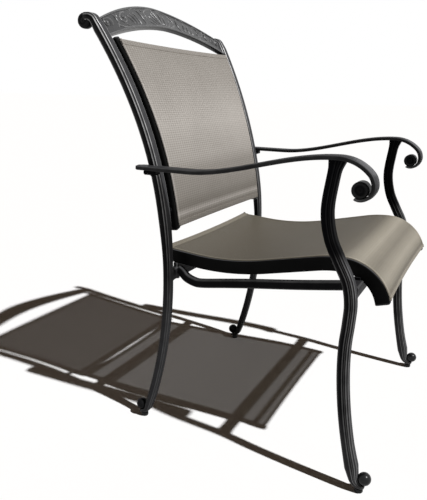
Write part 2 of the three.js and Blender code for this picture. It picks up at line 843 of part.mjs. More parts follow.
// Side bars: from the front cross bar, dipping and then hooking up into the rear one.
function sideBar() {
  const top = frontBarBase + frontBarHigh / 2;
  const line = sideBarShares.map(([runShare, dropShare]) => {
    const y = THREE.MathUtils.lerp(frontBarY, rearBarY, runShare);
    return spot(seatRailOver(y).x + sideBarOutset, y, top - sideBarDrop * dropShare);
  });
  const bar = swept(softBox(sideBarWide, sideBarHigh, barCorner, 0, 1), stations(line));
  const front = frontBarY + frontBarDeep / 2 + fit;
  const rear = rearBarY - rearBarDeep / 2 - fit;
  return cut(bar, wall(front - cutReach, front, top), wall(rear, rear + cutReach, top));
}

// A cutting block across the chair between two places in Y, round a height.
function wall(fromY, toY, height) {
  const [low, high] = [height - frameDepth, height + frameDepth];
  return slab([[fromY, low], [toY, low], [toY, high], [fromY, high]], 0, postSpan);
}

// The loose block between the front cross bar and a seat rail.
function seatBlock() {
  const block = saddle(seatRailOver(frontBarY), blockLong, frontBarTop + fit);
  return cut(block, railSpaceAbove(frontBarY), seatRailSpace, seatFront.space);
}

// A block from a height up to the centreline of the rail over it.
function saddle(rail, long, base) {
  const [front, rear] = [rail.y - long / 2, rail.y + long / 2];
  const side = [[front, base], [rear, base], [rear, rail.z], [front, rail.z]];
  return slab(side, rail.x - blockWide / 2, rail.x + blockWide / 2);
}

// All that lies above the underside of a seat rail, near a place in Y.
function railSpaceAbove(y) {
  const low = -seatRailDeep / 2 - fit;
  const outline = [[-cutReach, low], [cutReach, low], [cutReach, cutReach], [-cutReach, cutReach]];
  const near = seatLine.filter(({ at }) => Math.abs(at.y - y) < noseRun / 2);
  return swept(outline.map(([u, v]) => new THREE.Vector2(u, v)), near);
}

// Crest rail: an arch that leans back further as it rises, and ends on the posts' inner faces.
function crestEdge(share, rise, fall, power) {
  const shoulder = postLine(shoulderHeight);
  const climb = rise - fall * Math.abs(share) ** power;
  const climbShare = climb / crestRise;
  const y = shoulder.y + crestLean * climbShare + crestCurl * climbShare ** 2;
  return new THREE.Vector3(shoulder.x * share, y, shoulder.z + climb);
}

function crestRail() {
  const line = evenly(-1, 1, 2 * crestSteps).map((share) => {
    const under = crestEdge(share, crestUnderRise, crestUnderFall, crestUnderPower);
    const over = crestEdge(share, crestRise, crestFall, crestPower);
    const up = over.clone().sub(under).normalize();
    return {
      at: under.clone().lerp(over, 1 / 2),
      across: up.clone().cross(acrossChair),
      up,
      wide: 1,
      deep: over.distanceTo(under) / (crestRise - crestUnderRise),
    };
  });
  const outline = softBox(crestThick, crestRise - crestUnderRise, crestCorner, 0, 1);
  return cut(swept(outline, line), ...bothSides(outboardOfPost()));
}

// The chair, piece by piece
const chair = new THREE.Group();

function add(name, geometry, finish) {
  const mesh = new THREE.Mesh(geometry, finish);
  mesh.name = name;
  chair.add(mesh);
}

function addPair(name, geometry, finish) {
  add(`left_${name}`, geometry, finish);
  add(`right_${name}`, reflected(geometry), finish);
}

addPair("rear_post", rearPost([backLower.space, backUpper.space]), castMetal);
addPair("front_leg", frontLeg(armBody(fit)), castMetal);
addPair("arm", arm(), castMetal);
addPair("arm_scroll_ball", scrollBall(), castMetal);
addPair("arm_rear_bracket", armBracket(), castMetal);
addPair("rear_foot_ball", ball(rearBall, rearBallRadius), castMetal);
addPair("front_foot_ball", ball(frontBall, frontBallRadius), castMetal);
addPair("rear_glide", glide(rearGlide), plastic);
addPair("front_glide", glide(frontGlide), plastic);
add("crest_rail", crestRail(), castMetal);
add("rear_cross_bar", rearCrossBar(), castMetal);
add("front_cross_bar", frontCrossBar(), castMetal);
addPair("side_bar", sideBar(), castMetal);
addPair("seat_block", seatBlock(), castMetal);

const backRail = swept(railOutline(backRailDeep, coversFront), backRailLine);
addPair("back_rail", cut(backRail, backLower.space, backUpper.space), railMetal);
addPair("back_rail_top_cap", railCap(backRailLine.at(-1), 1, backRailDeep), plastic);
addPair("back_rail_bottom_cap", railCap(backRailLine[0], -1, backRailDeep), plastic);
addPair("back_spline", spline(backRailLine, backRailDeep, coversFront), plastic);
add("back_sling", sling(backRailLine, backRailDeep, coversFront), cloth);
add("back_upper_spreader", backSpreader(backRailHigh - spreaderSetback), steel);
add("back_lower_spreader", backSpreader(backRailLow + spreaderSetback), steel);

const seatRail = swept(railOutline(seatRailDeep, coversTop), seatLine);
addPair("seat_rail", cut(seatRail, seatRear.space, seatFront.space), railMetal);
addPair("seat_rail_front_cap", railCap(seatLine.at(-1), 1, seatRailDeep), plastic);
addPair("seat_rail_rear_cap", railCap(seatLine[0], -1, seatRailDeep), plastic);
addPair("seat_spline", spline(seatLine, seatRailDeep, coversTop), plastic);
add("seat_sling", sling(seatLine, seatRailDeep, coversTop), cloth);
const seatTube = (place) => spreader(place, seatRailDeep, coversTop, seatRailSpace);
add("seat_rear_spreader", seatTube(seatLine[2]), steel);
add("seat_front_spreader", seatTube(seatLine.at(-3)), steel);

for (const [end, fixing] of [["lower", backLower], ["upper", backUpper]]) {
  addPair(`back_${end}_bolt`, fixing.bolt, steel);
  addPair(`back_${end}_spacer`, fixing.spacer, castMetal);
}
addPair("seat_front_bolt", seatFront.bolt, steel);
addPair("seat_rear_bolt", seatRear.bolt, steel);

// The origin goes to the middle of the chair's footprint, on the floor.
const extent = new THREE.Box3().setFromObject(chair);
const middle = extent.getCenter(new THREE.Vector3());
chair.position.set(-middle.x, -middle.y, -extent.min.z);

export default chair;
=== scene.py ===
import math

import bmesh
import bpy
from bpy.props import FloatProperty, FloatVectorProperty, IntProperty, PointerProperty
from mathutils import Matrix, Vector


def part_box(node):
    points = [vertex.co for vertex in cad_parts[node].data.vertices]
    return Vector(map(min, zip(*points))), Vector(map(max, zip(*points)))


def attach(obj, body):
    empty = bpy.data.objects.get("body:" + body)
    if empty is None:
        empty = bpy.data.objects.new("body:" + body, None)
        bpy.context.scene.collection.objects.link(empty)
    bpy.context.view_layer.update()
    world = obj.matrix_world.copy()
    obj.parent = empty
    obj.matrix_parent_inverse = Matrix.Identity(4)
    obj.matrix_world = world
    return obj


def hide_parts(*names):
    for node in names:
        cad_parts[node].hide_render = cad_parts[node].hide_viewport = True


bl_info = {
    "name": "Sling Patio Chair",
    "version": (1, 0, 0),
    "blender": (4, 5, 0),
    "location": "View3D > Sidebar > Patio Chair",
    "description": "Builds the castings, rails and woven slings of a patio chair on its frame",
    "category": "Add Mesh",
}

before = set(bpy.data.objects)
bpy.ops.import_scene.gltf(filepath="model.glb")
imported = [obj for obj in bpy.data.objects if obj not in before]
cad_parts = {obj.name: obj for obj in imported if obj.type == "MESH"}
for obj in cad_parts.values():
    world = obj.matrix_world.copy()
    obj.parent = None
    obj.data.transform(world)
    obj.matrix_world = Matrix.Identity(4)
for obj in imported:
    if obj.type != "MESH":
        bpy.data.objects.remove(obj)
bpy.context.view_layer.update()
MM = 0.001
ACROSS, REARWARD, UPWARD = Vector((1, 0, 0)), Vector((0, 1, 0)), Vector((0, 0, 1))


def length(label, millimetres, description):
    return FloatProperty(name=label, description=description, default=millimetres * MM,
                         subtype="DISTANCE", unit="LENGTH", precision=5)


def turn(label, degrees, description):
    return FloatProperty(name=label, description=description, default=math.radians(degrees),
                         subtype="ANGLE", unit="ROTATION")


def portion(label, default, description):
    return FloatProperty(name=label, description=description, default=default, min=-4, max=4)


def colour(label, red, green, blue, description):
    return FloatVectorProperty(name=label, description=description, default=(red, green, blue, 1),
                               size=4, min=0, max=1, subtype="COLOR")


# Sizes and finishes
class PostSizes(bpy.types.PropertyGroup):
    span: length("Span", 545, "Between the posts' centrelines at the waist")
    setback: length("Waist setback", 136.361, "From the origin back to the waist")
    waist: length("Waist height", 342, "Where the posts stand furthest forward")
    rise: length("Rise", 536, "From the waist up to the shoulders")
    rake: length("Rake", 147, "From the waist back to the shoulders")
    kick: length("Kick", 60, "From the waist back to the feet")
    flare_height: length("Flare height", 552, "Where the posts start to spread")
    flare: length("Flare", 28, "Spread of each post by the shoulder")
    wide: length("Width", 22, "Width of the casting")
    deep: length("Depth", 17, "Depth of the casting")
    fullness: portion("Fullness", 1.2, "Growth of the casting above the seat")
    power: portion("Rake power", 2.08, "How quickly the rake grows with height")
    head_rise: length("Head rise", 31.5, "From the shoulder to the head's centreline")
    head_radius: length("Head radius", 17, "Radius of the turn at the head")
    head_run: length("Head run", 10, "From the turn to the middle of the knob")
    knob_radius: length("Knob radius", 16.5, "Radius of the knob")
    knob_long: length("Knob length", 23, "Length of the knob across the chair")


class LegSizes(bpy.types.PropertyGroup):
    depth: length("Depth to knees", 415.5, "From the posts' waist to the legs' knees")
    high: length("Height", 656, "Up to the underside of the arm")
    span_floor: length("Span at the floor", 647, "Between the centrelines at the floor")
    span_arm: length("Span at the arms", 624, "Between the centrelines at the arms")
    wide: length("Width", 22, "Width of the casting")
    deep: length("Thickness", 23, "Thickness of the casting")
    swing: length("Swing", 90, "Scale of the leg's bends")
    gusset: length("Gusset", 30, "Height of the flare under the arm")
    gusset_depth: portion("Gusset depth", 1.45, "Depth under the arm")
    foot_depth: portion("Foot depth", 1.16, "Depth at the ball")
    foot_flare: length("Foot flare", 60, "Height over which the foot widens")


class FootSizes(bpy.types.PropertyGroup):
    ball_radius: length("Ball radius", 13.5, "Radius of the balls at the feet")
    rear_height: length("Rear ball height", 29, "Height of the rear balls' centres")
    front_height: length("Front ball height", 31, "Height of the front balls' centres")
    bite: length("Bite", 1, "How deep a ball sits in its strap")
    tip_angle: turn("Strap tip", 8, "How far the strap passes the lowest point")
    rear_tip: length("Rear strap tip", 6, "Thickness of the rear strap at its tip")
    rear_side: length("Rear strap side", 14, "Thickness of the rear strap beside the ball")
    front_tip: length("Front strap tip", 4, "Thickness of the front strap at its tip")
    front_side: length("Front strap side", 19, "Thickness of the front strap beside the ball")
    glide_radius: length("Glide radius", 8.5, "Radius of the glides")
    glide_high: length("Glide height", 8.5, "Height of the glides")


class ArmSizes(bpy.types.PropertyGroup):
    high: length("Height", 605, "Centreline of the level rear half")
    rise: length("Rise", 51, "From there up to the crown over the front legs")
    wide: length("Width", 38, "Width of the arm")
    deep: length("Thickness", 9.5, "Thickness of the arm")
    crown: length("Crown", 2.5, "Rise of the top face between its edges")
    tail: length("Tail", 28, "How far the arm runs behind its post")
    level: length("Level run", 125, "Length of the level part")
    outset: length("Outset", 32.5, "From the post's outer face to the arm's outer edge")
    inset: length("Inset", 6.5, "How far the arm lies inside the front leg")
    scroll: length("Scroll radius", 83.5, "First and widest of the scroll's arcs")
    barrel: length("Barrel length", 33, "Length of the barrel in the scroll")


class CrestSizes(bpy.types.PropertyGroup):
    thick: length("Thickness", 13, "Thickness of the crest")
    rise: length("Rise", 83.6, "Top edge at the middle, above the shoulders")
    fall: length("Fall", 58, "From there down to the posts")
    under_rise: length("Under rise", 34.7, "Bottom edge at the middle, above the shoulders")
    under_fall: length("Under fall", 46.3, "From there down to the posts")
    lean: length("Lean", 47.6, "How far the rake carries the top edge rearward")
    curl: length("Curl", 20.6, "How much further its curve carries it")
    power: portion("Power", 1.71, "Shape of the top edge")
    under_power: portion("Under power", 1.75, "Shape of the bottom edge")
    rim: length("Rim", 4, "Width of the rim round the panel")
    panel: length("Panel depth", 2.2, "How deep the panel lies under the rim")


class RailSizes(bpy.types.PropertyGroup):
    wide: length("Width", 18, "Width of every rail")
    corner: length("Corner", 3, "Radius of the rails' corners")
    back_deep: length("Back depth", 24, "Depth of the back rails")
    back_low: length("Back foot", 467, "Height of the back rails' lower ends")
    back_high: length("Back head", 864, "Height of their upper ends")
    back_forward: length("Back forward", 1, "In front of the posts' centrelines")
    spacer_low: length("Lower spacer", 15, "Between post and rail at the bottom")
    spacer_high: length("Upper spacer", 6, "Between post and rail at the top")
    seat_deep: length("Seat depth", 29, "Depth of the seat rails")
    seat_high: length("Seat height", 401.5, "Centreline of the seat rails at the rear")
    seat_overhang: length("Overhang", 33, "How far a seat rail starts behind the waist")
    seat_rear_inset: length("Rear inset", 47.5, "Inside the rear posts' centrelines")
    seat_front_inset: length("Front inset", 73.5, "Inside the front legs' centrelines")
    nose_setback: length("Nose setback", 31, "From the knees back to the nose")
    nose_run: length("Nose run", 109, "Length of the turned-down nose")
    seat_slot: length("Seat slot", 5.5, "From a seat rail's outer side to its slot")
    back_slot: length("Back slot", 12.5, "From a back rail's outer side to its slot")
    pocket: length("Pocket", 5.5, "From the rail's covered face to the middle of its pocket")
    spline: length("Spline radius", 3, "Radius of the spline in the pocket")
    cap: length("Plug", 4, "How far a plug stands out of its rail")


class SlingSizes(bpy.types.PropertyGroup):
    thick: length("Cloth", 1.3, "Thickness of the cloth")
    gap: length("Gap", 0.3, "Between a rail's face and the cloth that covers it")
    sag: length("Sag", 4, "How far the cloth sags between its rails")
    setback: length("Setback", 4, "From the end of a rail to the edge of the cloth")
    low_setback: length("Low setback", 3, "From the foot of a back rail to the cloth")
    hem: length("Hem", 11, "Width of the turned hems")
    front_hem: length("Front hem", 6.5, "Width of the hem over the nose")
    roll: length("Rear roll", 2.6, "Radius of the roll at the rear of the seat")
    yarn: length("Yarn pitch", 1.7, "From one yarn to the next")


class Finishes(bpy.types.PropertyGroup):
    casting: colour("Casting", 0.0025, 0.0025, 0.003, "Coat on the sides and in hollows")
    # Painted light: the coat's colour where the lamp's light falls, in front and on top.
    painted_light: colour("Painted light coat", 0.105, 0.105, 0.11, "Coat in front and on top")
    # Ridges: partly wear, partly a painted highlight.
    worn_and_highlit: colour("Worn and highlit ridges", 0.62, 0.62, 0.62, "Where ridges are rubbed bright")
    rail: colour("Rails", 0.0028, 0.0028, 0.0028, "Powder coat of the extruded rails")
    plug: colour("Plugs", 0.004, 0.004, 0.004, "Plastic of the plugs and glides")
    bolt: colour("Fixings", 0.02, 0.02, 0.021, "Blackened steel of the fixings")
    pale_yarn: colour("Pale yarn", 0.465, 0.435, 0.403, "Back's yarns where they are palest")
    # The seat's copy of the pale yarn, tinted as its cloth shows under the lamp: painted light.
    seat_painted_yarn: colour("Seat's painted yarn", 0.475, 0.435, 0.36, "Seat's yarns where palest")
    deep_yarn: colour("Deep yarn", 0.07, 0.06, 0.044, "Yarns of the cloth where darkest")
    thread: colour("Thread", 0.30, 0.27, 0.24, "Stitching of the hems")


class StageSettings(bpy.types.PropertyGroup):
    sun: FloatProperty(name="Sun", description="Strength of the lamp", default=3.75, min=0)
    soft: turn("Softness", 1.1, "Width of the lamp, which softens the shadow")
    sky: FloatProperty(name="Sky", description="Strength of the light all round", default=0.04)
    warmth: colour("Warmth", 1.0, 0.73, 0.53, "Colour of the light all round")
    camera: FloatVectorProperty(name="Camera", description="Where the camera stands",
                                default=(-1.3946, -0.5027, 0.7633), subtype="TRANSLATION",
                                unit="LENGTH")
    heading: turn("Heading", -64.75, "Turn of the camera from facing along +Y")
    pitch: turn("Pitch", -14.69, "How far the camera looks down")
    roll: turn("Roll", 1.57, "How far the camera leans")
    lens: FloatProperty(name="Lens", description="Focal length", default=43.26, unit="CAMERA")


class ChairSettings(bpy.types.PropertyGroup):
    post: PointerProperty(type=PostSizes)
    leg: PointerProperty(type=LegSizes)
    foot: PointerProperty(type=FootSizes)
    arm: PointerProperty(type=ArmSizes)
    crest: PointerProperty(type=CrestSizes)
    rail: PointerProperty(type=RailSizes)
    sling: PointerProperty(type=SlingSizes)
    finish: PointerProperty(type=Finishes)
    stage: PointerProperty(type=StageSettings)
    steps: IntProperty(name="Steps", description="Sections along each long casting", default=56)


def chair():
    return bpy.context.scene.patio_chair


# Shader nodes
def sum_of(operation):
    return lambda wire, *others: wire.math(operation, wire, *others)


class Wire:
    """A socket of a material that can be used in sums."""

    def __init__(self, paint, socket):
        self.paint, self.socket = paint, socket

    def math(self, operation, *values):
        return self.paint.node("ShaderNodeMath", dict(enumerate(values)), operation=operation)

    __add__ = __radd__ = sum_of("ADD")
    __sub__ = sum_of("SUBTRACT")
    __mul__ = __rmul__ = sum_of("MULTIPLY")
    __truediv__ = sum_of("DIVIDE")
    __pow__ = sum_of("POWER")
    sine, size, fraction = sum_of("SINE"), sum_of("ABSOLUTE"), sum_of("FRACT")
    most, least = sum_of("MAXIMUM"), sum_of("MINIMUM")

    def __rsub__(self, other):
        return self.math("SUBTRACT", other, self)

    def spread(self, low, high, to_low=0, to_high=1):
        """The value carried smoothly from one range to another."""
        return self.paint.node(
            "ShaderNodeMapRange", {0: self, 1: low, 2: high, 3: to_low, 4: to_high},
            interpolation_type="SMOOTHSTEP",
        )


class Paint:
    """The nodes of a material, or of the world, that lead to its surface."""

    def __init__(self, name, kind="materials", surface="Principled BSDF"):
        self.made = getattr(bpy.data, kind).new(name)
        self.made.use_nodes = True
        self.tree = self.made.node_tree
        self.surface = self.tree.nodes[surface]

    def put(self, node, inputs):
        for name, value in inputs.items():
            if isinstance(value, Wire):
                self.tree.links.new(value.socket, node.inputs[name])
            else:
                node.inputs[name].default_value = value

    def feed(self, **inputs):
        self.put(self.surface, {name.replace("_", " "): inputs[name] for name in inputs})
        return self.made

    def node(self, kind, inputs=None, output=0, stops=(), **settings):
        made = self.tree.nodes.new(kind)
        for name, value in settings.items():
            setattr(made, name, value)
        if stops:
            ramp = made.color_ramp.elements
            for element, (place, shade) in zip(ramp, (stops[0], stops[-1])):
                element.position, element.color = place, shade
            for place, shade in stops[1:-1]:
                ramp.new(place).color = shade
        self.put(made, inputs or {})
        return Wire(self, made.outputs[output])

    def place(self):
        return self.node("ShaderNodeTexCoord", output="Object")

    def facing(self, direction):
        """How squarely the surface faces a direction."""
        normal = self.node("ShaderNodeTexCoord", output="Normal")
        return self.node("ShaderNodeVectorMath", {0: normal, 1: direction}, 1,
                         operation="DOT_PRODUCT")

    def noise(self, where, scale, detail, rough):
        return self.node("ShaderNodeTexNoise", {"Vector": where, "Scale": scale,
                                                "Detail": detail, "Roughness": rough})

    def stretched(self, where, scale):
        return self.node("ShaderNodeMapping", {"Vector": where, "Scale": scale})

    def part(self, vector, axis):
        return self.node("ShaderNodeSeparateXYZ", {"Vector": vector}, axis)

    def mark(self, name):
        """What an attribute of the piece holds at each point."""
        return self.node("ShaderNodeAttribute", output="Fac", attribute_name=name)

    def mixed(self, share, first, second):
        return self.node("ShaderNodeMix", {0: share, 6: first, 7: second}, 2, data_type="RGBA")

    def varied(self, share, finish, deepest, palest):
        """A finish that drifts between two shades of its colour."""
        return self.mixed(share, *(tuple(c * times for c in finish[:3]) + (1,)
                                   for times in (deepest, palest)))

    def bump(self, height, strength, millimetres):
        return self.node("ShaderNodeBump", {"Height": height, "Strength": strength,
                                            "Distance": millimetres * MM})


# Materials
def coated_casting(name, gloss, shine, painted_light_shares, wear_and_highlight=(0.3, 0.3), change=(0.3, 0.75),
                   foot=(0.0, 0.0, 1.0), glint=0.0, crown=9.0):
    """Powder coat on cast metal, with painted light on what faces the lamp, in front and on top,
    and ridges made pale partly by wear and partly by a painted highlight. The shares of
    painted light and of ridge wear and highlight are pairs, one below the two heights of the
    change and one above them. The foot is made paler on every side by its first value, which
    fades out between the two heights after it. Glint is a painted highlight on what faces the
    lamp squarely, and no ridge is worn or highlit above the crown."""
    finish, paint = chair().finish, Paint(name)
    where = paint.place()
    swell, grain = paint.noise(where, 38, 3, 0.55), paint.noise(where, 1500, 2, 0.6)
    height = paint.part(where, 2)
    # Painted light: faces turned to the lamp, in front and on top, take the paler coat.
    facing = paint.facing((0, -0.62, 0.78))
    painted_light = facing.spread(0.3, 0.9) * height.spread(*change, *painted_light_shares)
    # Glint adds a painted highlight where a face meets the lamp squarely.
    painted_light = (painted_light + facing.spread(0.9, 1) * glint).most(height.spread(*foot[1:], foot[0], 0))
    painted_light = painted_light * (swell * 0.5 + grain * 0.3 + 0.6)
    # Ridges are made pale partly by wear and partly by a painted highlight.
    worn_and_highlit = paint.mark("ridge") * swell.spread(0.3, 0.65, 0.7, 1.1)
    worn_and_highlit = worn_and_highlit * height.spread(*change, *wear_and_highlight) * height.spread(crown, crown - 0.03)
    worn_and_highlit = worn_and_highlit.least(1.0)
    base = paint.mixed(painted_light, finish.casting, finish.painted_light)
    return paint.feed(
        Specular_IOR_Level=shine,
        Base_Color=paint.mixed(worn_and_highlit, base, finish.worn_and_highlit),
        Roughness=gloss + (swell - 0.5) * 0.16 + (grain - 0.5) * 0.1,
        Metallic=worn_and_highlit * 0.55,
        Normal=paint.bump(swell * 0.5 + grain * 0.06, 0.35, 0.9),
    )


def coated_rail():
    """Powder coat over an extrusion, with faint lines drawn along it, and painted light on top."""
    finish, paint = chair().finish, Paint("rail_coat")
    where = paint.place()
    grain, cloud = paint.noise(where, 1400, 2, 0.6), paint.noise(where, 22, 2, 0.5)
    drawn = paint.noise(paint.stretched(where, (4, 0.06, 0.06)), 300, 2, 0.5)
    # Painted highlight: the rail's top, which faces the lamp, takes the painted light colour.
    painted_top_light = paint.facing((0, -0.3, 0.95)).spread(0.72, 0.95)
    base = paint.varied(cloud, finish.rail, 0.6, 1.8)
    return paint.feed(
        Specular_IOR_Level=0.02,
        Base_Color=paint.mixed(painted_top_light * 0.9, base, finish.painted_light),
        Roughness=0.36 + (grain - 0.5) * 0.12 + (cloud - 0.5) * 0.12,
        Normal=paint.bump(grain * 0.07 + drawn * 0.12, 0.3, 0.8),
    )


def moulded_plastic(name, gloss):
    """Plain moulded plastic with a fine spark grain."""
    paint = Paint(name)
    where = paint.place()
    grain, cloud = paint.noise(where, 2200, 3, 0.6), paint.noise(where, 60, 2, 0.5)
    return paint.feed(
        Specular_IOR_Level=0.2,
        Base_Color=paint.varied(cloud, chair().finish.plug, 0.7, 1.6),
        Roughness=gloss + (grain - 0.5) * 0.2,
        Normal=paint.bump(grain, 0.15, 0.2),
    )


def blackened_steel():
    """Steel under a thin black coat, a little worn in patches."""
    paint = Paint("fixing_steel")
    where = paint.place()
    cloud = paint.noise(where, 90, 3, 0.6)
    scratch = paint.noise(paint.stretched(where, (0.1, 1, 1)), 700, 2, 0.6)
    return paint.feed(
        Base_Color=paint.varied(cloud.spread(0.45, 0.75), chair().finish.bolt, 1, 2.6),
        Metallic=cloud.spread(0.3, 0.8, 0.55, 0.95),
        Roughness=0.34 + (scratch - 0.5) * 0.22,
        Normal=paint.bump(scratch, 0.2, 0.1),
    )


def woven_cloth(name, long, painted_tones, pale, seams=(), passed=0.0, grouped=1.0):
    """Coated yarns in a plain weave, grouped in sixes across and threes along. The tone painted
    along the cloth stands for the light and shade that fall on it, and beside the slots the cloth
    is painted paler as a painted highlight. Each seam is a sunken line, darkened as painted shade,
    with a row of stitches in it. Passed is the share of the lamp's light that the open weave lets
    through each of its faces."""
    finish, pitch, paint = chair().finish, chair().sling.yarn, Paint(name)
    uv = paint.node("ShaderNodeUVMap", uv_map="cloth")
    across, along = paint.part(uv, 0), paint.part(uv, 1)
    u, v = across / pitch, along / pitch
    warp, weft = (u * math.pi).sine(), (v * math.pi).sine()
    over = (warp * weft).spread(-0.2, 0.2)
    height = over * warp.size() ** 0.6 + (1 - over) * weft.size() ** 0.6
    band = ((u / 6).fraction() - 0.5).size().spread(0.25, 0.5)
    band = band + ((v / 3).fraction() - 0.5).size().spread(0.2, 0.5)
    streak_u, streak_v = (
        paint.noise(paint.node("ShaderNodeCombineXYZ", {axis: yarn}), 0.9, 2, 0.6)
        for axis, yarn in enumerate((u, v))
    )
    cloud = paint.noise(paint.place(), 9, 3, 0.5)
    # Painted light and shade along the cloth, from its table of tone.
    painted_light_along = paint.node("ShaderNodeValToRGB", {0: along / long},
                       stops=[(at, (tone, tone, tone, 1)) for at, tone in painted_tones])
    uneven = (height - 0.6) * 0.5 + (streak_u - 0.5) * 0.5 + (streak_v - 0.5) * 0.2
    uneven = uneven + (cloud - 0.5) * 0.3 - (band - 0.7) * (0.35 * grouped)
    # Cloth beside the slots is painted paler: a painted highlight where it turns over the rail.
    light = painted_light_along * (uneven + 1) + paint.mark("edge") * 0.22
    base = paint.mixed(light, finish.deep_yarn, pale)
    relief = height
    dash = (across / (3.4 * MM)).fraction().spread(0.2, 0.3)
    for seam in seams:
        away = (along - seam).size() / MM
        # The sunken seam is darkened toward the deep yarn: painted shade.
        sunk_and_shaded, stitched = away.spread(1.5, 0.3), away.spread(0.7, 0.4) * dash
        base = paint.mixed(sunk_and_shaded * 0.6, base, finish.deep_yarn)
        base = paint.mixed(stitched * 0.6, base, finish.thread)
        relief = relief - sunk_and_shaded * 1.5 + stitched * 0.5
    if passed:
        paint.feed(Alpha=1 - paint.node("ShaderNodeLightPath", output="Is Shadow Ray") * passed)
    return paint.feed(
        Specular_IOR_Level=0.05,
        Base_Color=base,
        Roughness=0.6 - height * 0.14 + (cloud - 0.5) * 0.08,
        Normal=paint.bump(relief - band * (0.3 * grouped), 0.5, 0.6),
    )


# Shapes
def evenly(first, last, steps):
    return [first + (last - first) * i / steps for i in range(steps + 1)]


def blend(first, last, share):
    return first + (last - first) * share


def smooth(share):
    share = min(1.0, max(0.0, share))
    return share * share * (3 - 2 * share)


def runs(points):
    """The direction of a line at each of its points."""
    ends = [points[0], *points, points[-1]]
    return [after - before for before, after in zip(ends, ends[2:])]


def outline(corners, *softened):
    """A flat face in X and Y, with groups of its corners rounded: radius, segments, places."""
    bm = bmesh.new()
    verts = [bm.verts.new((x, y, 0)) for x, y in corners]
    bm.faces.new(verts)
    for radius, segments, places in softened:
        bmesh.ops.bevel(bm, geom=[verts[i] for i in places], offset=radius, offset_type="OFFSET",
                        affect="VERTICES", segments=segments, profile=0.5, material=-1)
    return bm


def soft_box(wide, deep, corner, segments=4):
    x, y = wide / 2, deep / 2
    return outline([(-x, -y), (x, -y), (x, y), (-x, y)], (corner, segments, range(4)))


def spot(at, wide=1.0, deep=1.0):
    return (at, wide, deep)


def station(at, run, wide=1.0, deep=1.0, across=ACROSS):
    """The place of a cross-section: its own X across, its Y up and its Z along the run."""
    run = run.normalized()
    across = (across - run * run.dot(across)).normalized()
    up = run.cross(across)
    place = Matrix((across * wide, up * deep, run)).transposed().to_4x4()
    place.translation = at
    return place


def stations(spots):
    points, wides, deeps = zip(*spots)
    return [station(*each) for each in zip(points, runs(points), wides, deeps)]


def sideways(at):
    """A place whose own Z runs across the chair."""
    return Matrix.Translation(at) @ Matrix.Rotation(math.pi / 2, 4, "Y")


def moved(place, along, share=1.0):
    """A place shifted along its own run, with its section scaled."""
    return place @ Matrix.Translation((0, 0, along)) @ Matrix.Diagonal((share, share, 1, 1))


def rounded_ends(line, reach, narrowing, first=True, last=True):
    """Adds places that draw a sweep in at its ends, as a filed edge does."""
    drawn = ((0.0, 1 - 0.55 * narrowing), (0.3, 1 - 0.16 * narrowing), (1.0, 1.0))
    ends = list(line)
    if first:
        ends[:1] = [moved(line[0], reach * away, share) for away, share in drawn]
    if last:
        ends[-1:] = [moved(line[-1], -reach * away, share) for away, share in drawn[::-1]]
    return ends


def swept(bm, line):
    """Carries a flat outline along the places of a line, and leaves it closed."""
    face = bm.faces[:][0]
    bmesh.ops.transform(bm, matrix=line[0], verts=face.verts[:])
    for before, here in zip(line, line[1:]):
        made = bmesh.ops.extrude_face_region(bm, geom=[face])["geom"]
        face = next(g for g in made if isinstance(g, bmesh.types.BMFace))
        bmesh.ops.transform(bm, matrix=here @ before.inverted(), verts=face.verts[:])
    bmesh.ops.recalc_face_normals(bm, faces=bm.faces[:])
    return bm


def turned(profile, place, steps=32):
    """A turned shape from pairs of radius and height, about a place's own Z."""
    bm = bmesh.new()
    verts = [bm.verts.new((radius, 0, high)) for radius, high in profile]
    edges = [bm.edges.new(pair) for pair in zip(verts, verts[1:])]
    bmesh.ops.spin(bm, geom=verts + edges, cent=(0, 0, 0), axis=(0, 0, 1), dvec=(0, 0, 0),
                   angle=math.tau, steps=steps, use_merge=True, use_duplicate=False)
    bmesh.ops.remove_doubles(bm, verts=bm.verts[:], dist=1e-6)
    bmesh.ops.recalc_face_normals(bm, faces=bm.faces[:])
    bmesh.ops.transform(bm, matrix=place, verts=bm.verts[:])
    return bm


def end_profile(shares, radius, half):
    """One end of a turned shape: shares of its radius, and millimetres in from its end."""
    return [(radius * share, half - inward * MM) for share, inward in shares]


def other_end(profile):
    return [(radius, -high) for radius, high in reversed(profile)]


def joined(whole, *shapes):
    """Several closed shapes in one mesh."""
    for shape in shapes:
        spare = bpy.data.meshes.new("spare")
        shape.to_mesh(spare)
        whole.from_mesh(spare)
        shape.free()
        bpy.data.meshes.remove(spare)
    return whole


def mirrored(bm):
    twin = bm.copy()
    bmesh.ops.scale(twin, vec=(-1, 1, 1), verts=twin.verts[:])
    bmesh.ops.reverse_faces(twin, faces=twin.faces[:])
    return twin


def mark_ridges(bm, sharpest):
    """Keeps in an attribute how sharply each point of a casting stands out."""
    layer = bm.verts.layers.float.new("ridge")
    bm.normal_update()
    for vert in bm.verts:
        bends = [0]
        for edge in vert.link_edges:
            if len(edge.link_faces) == 2:
                area = sum(face.calc_area() for face in edge.link_faces)
                breadth = area / max(edge.calc_length(), 1e-7)
                bends.append(edge.calc_face_angle_signed(0.0) / max(breadth, 1e-5))
        vert[layer] = min(1.0, max(bends) * MM / sharpest)


def piece(name, bm, material, slot, node=None, ridges=None, angle=38):
    """Makes a finished piece: it rides on the chair and stands for its CAD node."""
    if ridges:
        mark_ridges(bm, ridges)
    mesh = bpy.data.meshes.new(name)
    bm.to_mesh(mesh)
    bm.free()
    mesh.shade_smooth()
    mesh.set_sharp_from_angle(angle=math.radians(angle))
    mesh.materials.append(material)
    made = bpy.data.objects.new(name, mesh)
    bpy.context.scene.collection.objects.link(made)
    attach(made, "root")
    if node:
        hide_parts(node)
    return made


